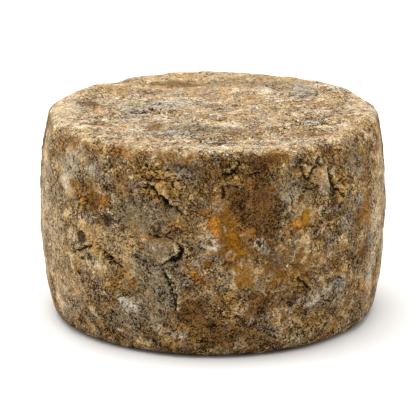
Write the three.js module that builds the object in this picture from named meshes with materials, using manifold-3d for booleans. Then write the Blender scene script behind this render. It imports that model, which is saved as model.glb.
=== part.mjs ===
// A wheel of aged cheese in a thick natural crust, standing flat on z = 0.
// Millimetres, +Z up. The front is -Y, and azimuths are degrees from the front towards +X.

import * as THREE from "three";
import { ImprovedNoise } from "three/addons/math/ImprovedNoise.js";
import { mergeVertices } from "three/addons/utils/BufferGeometryUtils.js";
import Module from "manifold-3d";

// The pressed wheel.
const WHEEL_RADIUS = 100;
const WHEEL_HEIGHT = 120;
const BELLY_HEIGHT = 64;
const BELLY_ARC_RADIUS = 285;
const TOP_CORNER_RADIUS = 8;
const BASE_CORNER_RADIUS = 8;

// The top, sunk a little inside a rolled rim.
const TOP_DISH_DEPTH = 1.6;
const RIM_ROLL_WIDTH = 26;

// The unevenness of the crust: rise of each kind of bump and the distance between two of them.
const SWELL_RISE = 1.5;
const SWELL_SPAN = 58;
const LUMP_RISE = 1.0;
const LUMP_SPAN = 23;
const CRAG_RISE = 1.6;
const CRAG_SPAN = 11;
const CRUST_FADE_HEIGHT = 9;

// The underside, which rests on a flat ring and a flat middle.
const HOLLOW_DEPTH = 0.9;
const HOLLOW_SPAN = 34;
const FLAT_MIDDLE_RADIUS = 30;

// Fineness of the faceted solid. The underside gets larger facets than the rest.
const FACET_DETAIL = 21;
const UNDERSIDE_SHARE = 0.45;
const PROFILE_STEPS = 600;

// Broad dents pressed into the crust: azimuth and height of the middle, reach and depth.
const DENTS = [
  { azimuth: -140, height: 119, reach: 10, depth: 1.9 },
  { azimuth: 154, height: 119, reach: 8, depth: 1.1 },
  { azimuth: 105, height: 114, reach: 7, depth: 0.8 },
  { azimuth: -104, height: 113, reach: 8, depth: 1.2 },
  { azimuth: 50, height: 4, reach: 20, depth: 1.6 },
  { azimuth: 9, height: 94, reach: 13, depth: 1.2 },
  { azimuth: -26, height: 42, reach: 14, depth: 1.0 },
  { azimuth: 172, height: 60, reach: 18, depth: 1.4 },
];

// Thick scabs and swellings that stand proud of the crust: middle, reach and rise.
const SCABS = [
  { azimuth: -17, height: 63, reach: 9, rise: 1.1 },
  { azimuth: -17, height: 101, reach: 12, rise: 1.3 },
  { azimuth: 33, height: 104, reach: 10, rise: 1.2 },
  { azimuth: 45, height: 94, reach: 9, rise: 0.9 },
  { azimuth: -45, height: 66, reach: 14, rise: 0.8 },
  { azimuth: 42, height: 30, reach: 12, rise: 0.9 },
  { azimuth: -92, height: 70, reach: 46, rise: 0.8 },
  { azimuth: 118, height: 70, reach: 14, rise: 1.1 },
  { azimuth: -140, height: 48, reach: 13, rise: 1.0 },
  { azimuth: -168, height: 96, reach: 12, rise: 1.1 },
];

// Splits in the crust: width, depth, and the course as pairs of azimuth and height.
const SPLITS = [
  {
    width: 3.0,
    depth: 3.2,
    course: [[-20.5, 71.5], [-16, 71], [-12.5, 70], [-10.2, 66], [-10, 62], [-13, 58.5], [-17, 55], [-21.5, 54]],
  },
  { width: 2.4, depth: 2.6, course: [[-16.4, 54], [-15.2, 47], [-13.6, 40], [-12.6, 31]] },
  { width: 2.2, depth: 2.4, course: [[-53, 50.5], [-48.5, 54.5], [-45, 57], [-42, 58.5]] },
  { width: 2.2, depth: 2.4, course: [[-38, 58], [-36, 55.5], [-33.5, 53], [-31, 51.5]] },
  { width: 2.2, depth: 2.4, course: [[-22.5, 98.5], [-18, 96.5], [-15.5, 92], [-10.5, 87.5], [-9.6, 83]] },
  { width: 2.2, depth: 2.4, course: [[29, 103], [32, 99.5], [35, 103], [38, 106]] },
  { width: 2.4, depth: 2.6, course: [[43, 99], [42.6, 94], [45.5, 91], [47.5, 86]] },
  { width: 2.4, depth: 2.6, course: [[131, 84], [137, 76], [136, 66], [141, 57]] },
  { width: 2.4, depth: 2.6, course: [[-112, 52], [-119, 58], [-126, 56], [-131, 63]] },
];
const SPLIT_STEP = 3.2;
const SPLIT_WANDER = 0.9;
const CUTTER_STANDOFF = 2.5;

const wasm = await Module();
wasm.setup();
const noise = new ImprovedNoise();

/** Half of the wheel's cross-section, from the middle of the underside up to the middle of the top. */
function crossSection() {
  const arcCentre = WHEEL_RADIUS - BELLY_ARC_RADIUS;
  const cornerCentre = (cornerRadius, cornerHeight) => {
    const reach = BELLY_ARC_RADIUS - cornerRadius;
    return arcCentre + Math.sqrt(reach ** 2 - (cornerHeight - BELLY_HEIGHT) ** 2);
  };
  const baseHeight = BASE_CORNER_RADIUS;
  const topHeight = WHEEL_HEIGHT - TOP_CORNER_RADIUS;
  const baseX = cornerCentre(BASE_CORNER_RADIUS, baseHeight);
  const topX = cornerCentre(TOP_CORNER_RADIUS, topHeight);
  const baseAngle = Math.atan2(baseHeight - BELLY_HEIGHT, baseX - arcCentre);
  const topAngle = Math.atan2(topHeight - BELLY_HEIGHT, topX - arcCentre);
  const sunkHeight = WHEEL_HEIGHT - TOP_DISH_DEPTH;

  const path = new THREE.Path();
  path.moveTo(0, 0);
  path.lineTo(baseX, 0);
  path.absarc(baseX, baseHeight, BASE_CORNER_RADIUS, -Math.PI / 2, baseAngle, false);
  path.absarc(arcCentre, BELLY_HEIGHT, BELLY_ARC_RADIUS, baseAngle, topAngle, false);
  path.absarc(topX, topHeight, TOP_CORNER_RADIUS, topAngle, Math.PI / 2, false);
  path.bezierCurveTo(
    topX - RIM_ROLL_WIDTH / 2, WHEEL_HEIGHT,
    topX - RIM_ROLL_WIDTH, sunkHeight,
    topX - 1.6 * RIM_ROLL_WIDTH, sunkHeight,
  );
  path.lineTo(0, sunkHeight);
  return path.getSpacedPoints(PROFILE_STEPS);
}

/** The share of the facets each point of the cross-section has below it, from 0 to 1. */
function facetShares(section) {
  const shares = [0];
  for (let i = 1; i < section.length; i += 1) {
    const middle = section[i].clone().add(section[i - 1]).multiplyScalar(0.5);
    const weight = middle.y < 0.5 ? UNDERSIDE_SHARE : 1;
    shares.push(shares[i - 1] + weight * middle.x * section[i].distanceTo(section[i - 1]));
  }
  return shares.map((share) => share / shares[shares.length - 1]);
}

const SECTION = crossSection();
const SHARES = facetShares(SECTION);

/** The point and outward normal of the smooth wheel at a place along the cross-section and an angle. */
function smoothPoint(place, angle) {
  const low = Math.min(Math.floor(place), SECTION.length - 2);
  const point = SECTION[low].clone().lerp(SECTION[low + 1], place - low);
  const before = SECTION[Math.max(low - 1, 0)];
  const after = SECTION[Math.min(low + 2, SECTION.length - 1)];
  const along = after.clone().sub(before).normalize();
  const position = new THREE.Vector3(point.x * Math.sin(angle), -point.x * Math.cos(angle), point.y);
  const normal = new THREE.Vector3(along.y * Math.sin(angle), -along.y * Math.cos(angle), -along.x);
  return { position, normal };
}

/** The place along the cross-section below which a given share of the facets lies. */
function placeOfShare(share) {
  let low = 0;
  let high = SHARES.length - 1;
  while (high - low > 1) {
    const middle = Math.floor((low + high) / 2);
    if (SHARES[middle] > share) {
      high = middle;
    } else {
      low = middle;
    }
  }
  const span = Math.max(SHARES[high] - SHARES[low], 1e-12);
  return low + THREE.MathUtils.clamp((share - SHARES[low]) / span, 0, 1);
}

/** The place along the cross-section where the side passes a given height, under the top's highest ring. */
function placeOfHeight(height) {
  const reached = Math.min(height, WHEEL_HEIGHT - 0.5);
  return SECTION.findIndex((point) => point.x > WHEEL_RADIUS / 2 && point.y >= reached);
}

/** Smooth noise from -1 to 1 with about one bump in each span of millimetres. */
function bumps(position, span, shift) {
  return noise.noise(position.x / span + shift, position.y / span + shift, position.z / span - shift);
}

/** How near a point is to a named spot on the side: 1 at its middle and 0 beyond its reach. */
function nearness(spot, position, edge) {
  const { position: middle } = smoothPoint(placeOfHeight(spot.height), THREE.MathUtils.degToRad(spot.azimuth));
  return THREE.MathUtils.smoothstep(1 - position.distanceTo(middle) / spot.reach, 0, edge);
}

/** How far the crust stands out from the smooth wheel at a point, in millimetres. */
function crustRise(position) {
  const swell = SWELL_RISE * bumps(position, SWELL_SPAN, 3.7);
  const lump = LUMP_RISE * bumps(position, LUMP_SPAN, 11.3);
  const crag = CRAG_RISE * (Math.abs(bumps(position, CRAG_SPAN, 27.9)) - 0.3);
  const dents = DENTS.reduce((sum, dent) => sum + dent.depth * nearness(dent, position, 0.7), 0);
  const scabs = SCABS.reduce((sum, scab) => sum + scab.rise * nearness(scab, position, 0.45), 0);
  const fade = THREE.MathUtils.smoothstep(position.z, 0, CRUST_FADE_HEIGHT);
  return fade * (swell + lump + crag + scabs - dents);
}

/** The height of the underside above the shelf at a point: shallow hollows around a flat middle. */
function undersideHollow(position, footRadius) {
  const radius = Math.hypot(position.x, position.y);
  const inner = THREE.MathUtils.smoothstep(radius, FLAT_MIDDLE_RADIUS, FLAT_MIDDLE_RADIUS + 15);
  const outer = 1 - THREE.MathUtils.smoothstep(radius, footRadius - 24, footRadius - 8);
  return HOLLOW_DEPTH * inner * outer * Math.max(0, 2 * bumps(position, HOLLOW_SPAN, 7.1));
}

/** A point of the crusted wheel. */
function crustPoint(place, angle) {
  const { position, normal } = smoothPoint(place, angle);
  const crusted = position.clone().addScaledVector(normal, crustRise(position));
  if (position.z < 1e-6) {
    crusted.z = undersideHollow(position, WHEEL_RADIUS - BASE_CORNER_RADIUS);
  }
  crusted.z = Math.max(crusted.z, 0);
  return { position: crusted, normal };
}

/** A three.js geometry as a closed solid that can be cut. */
function solidFrom(geometry) {
  const bare = geometry.clone();
  bare.deleteAttribute("normal");
  bare.deleteAttribute("uv");
  const merged = mergeVertices(bare, 1e-4);
  return new wasm.Manifold(
    new wasm.Mesh({
      numProp: 3,
      vertProperties: merged.attributes.position.array,
      triVerts: new Uint32Array(merged.index.array),
    }),
  );
}

/** A finished solid as a geometry for a mesh. */
function geometryFrom(solid) {
  const mesh = solid.getMesh();
  const geometry = new THREE.BufferGeometry();
  geometry.setAttribute("position", new THREE.BufferAttribute(new Float32Array(mesh.vertProperties), 3));
  geometry.setIndex(new THREE.BufferAttribute(new Uint32Array(mesh.triVerts), 1));
  geometry.computeVertexNormals();
  return geometry;
}

/** The crusted wheel before it splits, its facets of one size spread from a divided icosahedron. */
function unsplitWheel() {
  const geometry = new THREE.IcosahedronGeometry(1, FACET_DETAIL);
  const points = geometry.getAttribute("position");
  for (let i = 0; i < points.count; i += 1) {
    const place = placeOfShare((1 + THREE.MathUtils.clamp(points.getZ(i), -1, 1)) / 2);
    const angle = Math.atan2(points.getX(i), -points.getY(i));
    const { position } = crustPoint(place, angle);
    points.setXYZ(i, position.x, position.y, position.z);
  }
  return solidFrom(geometry);
}

/** The spots a split runs through, evenly stepped and wandering a little from its course. */
function splitSpots(split) {
  const corners = split.course.map(([azimuth, height]) => {
    return crustPoint(placeOfHeight(height), THREE.MathUtils.degToRad(azimuth)).position;
  });
  const curve = new THREE.CatmullRomCurve3(corners);
  const count = Math.max(3, Math.round(curve.getLength() / SPLIT_STEP));
  return curve.getSpacedPoints(count).map((spot, i) => {
    const wander = i === 0 || i === count ? 0 : SPLIT_WANDER;
    const height = spot.z + wander * noise.noise(7.3 * i, spot.z / 5, 1.5);
    const angle = Math.atan2(spot.x, -spot.y) + (wander / WHEEL_RADIUS) * noise.noise(5.1 * i, 2.5, spot.z / 5);
    return crustPoint(placeOfHeight(height), angle);
  });
}

/** The wedge that opens one split: three corners at each spot, closing to a point at both ends. */
function splitCutter(split) {
  const spots = splitSpots(split);
  const last = spots.length - 1;
  const corners = [];
  spots.forEach(({ position, normal }, i) => {
    const ahead = spots[Math.min(i + 1, last)].position.clone();
    const along = ahead.sub(spots[Math.max(i - 1, 0)].position).normalize();
    const across = new THREE.Vector3().crossVectors(normal, along).normalize();
    const fullness = 0.12 + 0.88 * Math.sin((Math.PI * i) / last) ** 0.7;
    const depth = split.depth * fullness;
    const spread = (split.width / 2) * fullness * ((depth + CUTTER_STANDOFF) / depth);
    const above = position.clone().addScaledVector(normal, CUTTER_STANDOFF);
    corners.push(above.clone().addScaledVector(across, spread));
    corners.push(position.clone().addScaledVector(normal, -depth));
    corners.push(above.clone().addScaledVector(across, -spread));
  });

  const faces = [0, 2, 1];
  for (let i = 0; i < last; i += 1) {
    for (let k = 0; k < 3; k += 1) {
      const a = 3 * i + k;
      const b = 3 * i + ((k + 1) % 3);
      faces.push(a, b, b + 3);
      faces.push(a, b + 3, a + 3);
    }
  }
  faces.push(3 * last, 3 * last + 1, 3 * last + 2);
  const geometry = new THREE.BufferGeometry().setFromPoints(corners);
  geometry.setIndex(faces);
  const solid = solidFrom(geometry);
  if (solid.volume() > 0) {
    return solid;
  }
  for (let i = 0; i < faces.length; i += 3) {
    [faces[i + 1], faces[i + 2]] = [faces[i + 2], faces[i + 1]];
  }
  geometry.setIndex(faces);
  return solidFrom(geometry);
}

/** Dry brown natural rind. */
function rindMaterial() {
  return new THREE.MeshStandardMaterial({ color: 0x9c7c50, roughness: 0.92, metalness: 0 });
}

/** The whole wheel: the crust with its splits opened. */
function cheeseWheel() {
  const wheel = SPLITS.reduce((body, split) => body.subtract(splitCutter(split)), unsplitWheel());
  const mesh = new THREE.Mesh(geometryFrom(wheel), rindMaterial());
  mesh.name = "cheese_wheel";
  return mesh;
}

const part = new THREE.Group();
part.name = "cheese_wheel_part";
part.add(cheeseWheel());
export default part;
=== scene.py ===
"""A whole wheel of aged cheese in its natural rind.

The rind is a dry, cracked crust with moulds of many colours. The wheel stands on a plain studio floor.
"""

import logging
import math
from dataclasses import dataclass, field
from enum import Enum
from functools import partial

import bmesh
import bpy
import numpy as np
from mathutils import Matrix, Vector, noise
from mathutils.bvhtree import BVHTree


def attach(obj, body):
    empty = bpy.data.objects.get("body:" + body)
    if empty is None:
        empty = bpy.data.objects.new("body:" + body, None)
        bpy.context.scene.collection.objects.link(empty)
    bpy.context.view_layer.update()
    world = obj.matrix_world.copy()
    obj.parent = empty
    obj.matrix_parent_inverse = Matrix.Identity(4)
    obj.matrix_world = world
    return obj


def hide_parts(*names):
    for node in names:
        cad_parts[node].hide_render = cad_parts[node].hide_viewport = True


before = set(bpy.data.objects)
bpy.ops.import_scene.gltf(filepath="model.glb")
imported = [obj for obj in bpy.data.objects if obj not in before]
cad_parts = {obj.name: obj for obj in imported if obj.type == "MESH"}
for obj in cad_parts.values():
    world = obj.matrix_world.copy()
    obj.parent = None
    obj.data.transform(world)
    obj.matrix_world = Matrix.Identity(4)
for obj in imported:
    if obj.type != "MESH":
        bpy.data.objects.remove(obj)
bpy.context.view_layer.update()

LOG = logging.getLogger("cheese_wheel")
MM = 0.001
# Further off than any mark or crack reaches, in millimetres.
FAR_OFF = 1e4
WHEEL_MIDDLE = (0.0, 0.0, 0.06)

# What a node does. One that is held stays between 0 and 1.
PLUS = {"operation": "ADD"}
MINUS = {"operation": "SUBTRACT"}
TIMES = {"operation": "MULTIPLY"}
TIMES_HELD = {"operation": "MULTIPLY", "use_clamp": True}
TIMES_PLUS = {"operation": "MULTIPLY_ADD"}
TIMES_PLUS_HELD = {"operation": "MULTIPLY_ADD", "use_clamp": True}
PER = {"operation": "DIVIDE"}
UNSIGNED = {"operation": "ABSOLUTE"}
SMOOTHLY = {"interpolation_type": "SMOOTHSTEP"}
COLOUR_MIX = {"data_type": "RGBA"}

Pair = tuple[float, float]
Rows = tuple[tuple[float, ...], ...]
Source = bpy.types.Node | bpy.types.NodeSocket | float | tuple[float, ...]


def linear_colour(hex_colour: str) -> tuple[float, float, float, float]:
    """Turns an sRGB hex colour into a linear one.

    Args:
        hex_colour: the colour as "#RRGGBB".

    Returns:
        Red, green, blue and an alpha of 1, in linear light.
    """
    parts = [int(hex_colour[i : i + 2], 16) / 255 for i in (1, 3, 5)]
    return (*[p / 12.92 if p <= 0.04045 else ((p + 0.055) / 1.055) ** 2.4 for p in parts], 1.0)


def add_node(
    tree: bpy.types.NodeTree,
    kind: str,
    settings: dict[str, object] | None = None,
    inputs: dict[int | str, object] | None = None,
) -> bpy.types.Node:
    """Adds one node to a tree, with its settings and what goes into it. A linked node gives its first output.

    Args:
        tree: the shader or geometry tree.
        kind: the node's type name.
        settings: the node's own properties.
        inputs: for each input, by name or number, a plain value, or the socket or node to link to it.

    Returns:
        The new node.
    """
    node = tree.nodes.new(kind)
    for name, value in (settings or {}).items():
        setattr(node, name, value)
    for key, value in (inputs or {}).items():
        if isinstance(value, bpy.types.Node):
            value = value.outputs[0]
        if isinstance(value, bpy.types.NodeSocket):
            tree.links.new(value, node.inputs[key])
        else:
            node.inputs[key].default_value = value
    return node


def smooth_step(values: np.ndarray, low: float, high: float) -> np.ndarray:
    """Rises smoothly from 0 at low to 1 at high.

    Args:
        values: the values to map.
        low: where the rise starts.
        high: where it ends.

    Returns:
        The mapped values.
    """
    share = np.clip((values - low) / (high - low), 0.0, 1.0)
    return share * share * (3.0 - 2.0 * share)


class Face(Enum):
    """Which face of the wheel a mark lies on."""

    SIDE = "side"
    TOP = "top"
    BASE = "base"


class Bloom(Enum):
    """What grows on the rind, or has happened to it, at a mark."""

    TAN = "tan"
    TAUPE = "taupe"
    UMBER = "umber"
    BARE = "bare"
    SLATE = "slate"
    OCHRE = "ochre"
    RUST = "rust"
    SOOT = "soot"
    CHALK = "chalk"
    CRAG = "crag"
    DUST = "dusty"


@dataclass(frozen=True)
class Mark:
    """One growth or worn spot. Its place is in millimetres, but in degrees round the side."""

    bloom: Bloom
    across: float
    up: float
    width: float
    tall: float
    strength: float = 1.0
    tilt: float = 0.0
    ring: bool = False
    face: Face = Face.SIDE


@dataclass(frozen=True)
class Crack:
    """One crack: its course, its depth, its lip's rise, and how far it wanders off, in millimetres."""

    course: tuple[tuple[float, float, float], ...]
    depth: float = 1.6
    lift: float = 0.0
    wander: float = 0.8
    face: Face = Face.SIDE


def listed(table: dict[Bloom, Rows], face: Face) -> list[Mark]:
    """Turns a table's rows into marks.

    Args:
        table: the rows of each kind.
        face: the face they lie on.

    Returns:
        The marks.
    """
    return [Mark(bloom, *row, face=face) for bloom, rows in table.items() for row in rows]


# Each corner of a course: degrees round, millimetres up, and half the width there.
FRONT_CRACKS = (
    Crack(
        ((-20.6, 72, 0.2), (-17, 70.4, 0.3), (-14.6, 71, 0.25), (-12.6, 69.6, 0.3), (-10.6, 66.4, 0.4)),
        1.6, 0.7, 0.5,
    ),
    Crack(
        ((-16.8, 54.6, 0.25), (-15, 56, 0.45), (-13, 58, 0.7), (-10.8, 60, 0.75), (-9.6, 62.8, 0.5),
         (-10.6, 66.4, 0.4)),
        2.6, 1.2,
    ),
    Crack(((-16.6, 54.8, 0.3), (-18.4, 54.2, 0.2), (-20, 54.4, 0.1)), 1.0, 0.4, 0.5),
    Crack(((-11.6, 60.6, 0.3), (-13.4, 58.6, 0.4), (-15.6, 57.4, 0.2)), 1.4, 0.0),
    Crack(((-10.4, 58.4, 0.2), (-9.4, 57.2, 0.2), (-9.8, 55.6, 0.1)), 0.8, 0.0),
    Crack(((-12.2, 56.8, 0.2), (-12, 55, 0.2), (-12.8, 53.6, 0.1)), 0.8, 0.0),
    Crack(((-16, 71.6, 0.2), (-13.6, 74.4, 0.3), (-11, 73.4, 0.2), (-8.4, 75.6, 0.15)), 1.0),
    Crack(((-14.4, 76, 0.2), (-12, 77.2, 0.25), (-10.4, 75.8, 0.15)), 0.8),
    Crack(((-9.8, 62.5, 0.35), (-7.5, 61.2, 0.3), (-6.2, 59.2, 0.25), (-5.6, 60.4, 0.1)), 1.0),
    Crack(((-10.2, 65, 0.3), (-8.4, 65.6, 0.25), (-6.8, 64.6, 0.15)), 0.8),
    Crack(((-10.8, 67.4, 0.3), (-9, 69.2, 0.25), (-7.4, 68.8, 0.15)), 0.8),
    Crack(
        ((-16.2, 53, 0.3), (-15.2, 48, 0.5), (-13.8, 42.6, 0.55), (-13, 37.6, 0.5), (-12.3, 33, 0.5),
         (-12.5, 28, 0.3)),
        1.8, 1.4, 0.3,
    ),
    Crack(
        ((-15, 53, 0.2), (-14, 48, 0.3), (-12.4, 42.6, 0.4), (-11.6, 38, 0.35), (-11.8, 34, 0.2)),
        1.2, 0.8, 0.3,
    ),
    Crack(
        ((-53, 50.5, 0.35), (-50, 53, 0.5), (-47.4, 56, 0.45), (-44.6, 57.4, 0.55), (-41.4, 59, 0.4)),
        1.8, 0.8,
    ),
    Crack(
        ((-38.6, 59.4, 0.4), (-36.4, 56.6, 0.6), (-34, 54.8, 0.65), (-32.4, 52.3, 0.55), (-30, 50.4, 0.35)),
        1.9, 0.8,
    ),
    Crack(((-35, 54, 0.2), (-34.4, 51, 0.2), (-33.6, 48.6, 0.1)), 0.8),
    Crack(
        ((-23, 100.4, 0.3), (-19, 98, 0.5), (-16.2, 93, 0.7), (-14, 89.4, 0.5), (-11.6, 89, 0.4),
         (-9.8, 83.4, 0.4)),
        2.0, 1.0,
    ),
    Crack(((-16, 103, 0.2), (-13, 101, 0.5), (-11, 98, 0.4), (-9, 97, 0.2)), 1.4, 0.8),
    Crack(
        ((-24, 104, 0.1), (-21, 102.4, 0.2), (-17.6, 103, 0.2), (-14, 105, 0.25), (-10, 103, 0.1)),
        0.8, 0.7,
    ),
    Crack(((-20, 110, 0.15), (-17, 108, 0.25), (-14, 107.4, 0.1)), 0.8, 0.6),
    Crack(
        ((30, 106.5, 0.4), (31.4, 102.4, 0.9), (32.6, 99.6, 0.8), (33.6, 103, 0.7), (36, 105.6, 0.6),
         (39, 105.8, 0.3)),
        2.2, 1.0,
    ),
    Crack(((31, 109, 0.3), (34.6, 107.4, 0.5), (36.6, 110, 0.4), (40, 111, 0.2)), 1.4, 0.8),
    Crack(((41.4, 104, 0.4), (42, 98, 0.7), (43.4, 93, 0.7), (45.4, 89, 0.7), (47, 85, 0.4)), 2.0, 0.9),
    Crack(((24, 96, 0.1), (26.4, 91, 0.25), (25.4, 87, 0.2), (26.4, 84, 0.1)), 0.8, 0.6),
    Crack(((30, 96, 0.2), (33, 94, 0.4), (35, 95, 0.2)), 1.0, 0.4),
    Crack(((1, 104, 0.2), (3.4, 108, 0.4), (6, 106, 0.5), (8, 110, 0.7), (9, 114, 0.3)), 1.6, 0.8),
    Crack(((2.4, 100, 0.2), (3.6, 97, 0.5), (3, 94, 0.2)), 1.2, 0.6),
    Crack(((12, 105, 0.2), (14, 107, 0.45), (16.4, 106, 0.2)), 1.2, 0.6),
    Crack(((2, 99, 0.2), (5, 101, 0.25), (7.6, 99.6, 0.2), (9.6, 102, 0.2)), 1.0, 0.4),
    Crack(((27.6, 45, 0.3), (29.6, 42.6, 0.7), (31.6, 40, 0.6), (33, 37.6, 0.3)), 1.6, 0.6),
    Crack(((44, 44, 0.2), (46.6, 46, 0.45), (48.6, 49, 0.3)), 1.2, 0.5),
    Crack(((-47.6, 95, 0.2), (-47, 89, 0.4), (-48.6, 84, 0.4), (-48, 80, 0.2)), 1.2, 0.5),
)

# Behind, where the crust has fewer.
FAR_CRACKS = (
    Crack(((131, 84, 0.3), (137, 76, 0.8), (136, 66, 0.9), (141, 57, 0.4)), 2.4, 0.9),
    Crack(((136, 66, 0.5), (132, 60, 0.4), (129, 58, 0.2)), 1.2, 0.3),
    Crack(((-112, 52, 0.3), (-119, 58, 0.8), (-126, 56, 0.7), (-131, 63, 0.3)), 2.4, 0.8),
    Crack(((-119, 58, 0.4), (-120, 65, 0.4), (-118, 70, 0.2)), 1.2, 0.4),
    Crack(((96, 98, 0.2), (101, 95, 0.5), (106, 97, 0.5), (112, 93, 0.2)), 1.4, 0.6),
    Crack(((170, 40, 0.2), (174, 47, 0.5), (173, 55, 0.5), (179, 61, 0.2)), 1.4, 0.6),
    Crack(((-160, 88, 0.2), (-154, 90, 0.5), (-149, 87, 0.3)), 1.4, 0.5),
    Crack(((84, 44, 0.2), (88, 37, 0.5), (93, 35, 0.3)), 1.2, 0.4),
    Crack(((-86, 100, 0.2), (-91, 97, 0.5), (-96, 99, 0.3)), 1.4, 0.6),
    Crack(((-88, 34, 0.2), (-93, 38, 0.4), (-99, 36, 0.2)), 1.2, 0.4),
    Crack(((156, 104, 0.2), (161, 101, 0.5), (167, 103, 0.3)), 1.4, 0.6),
)

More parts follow.
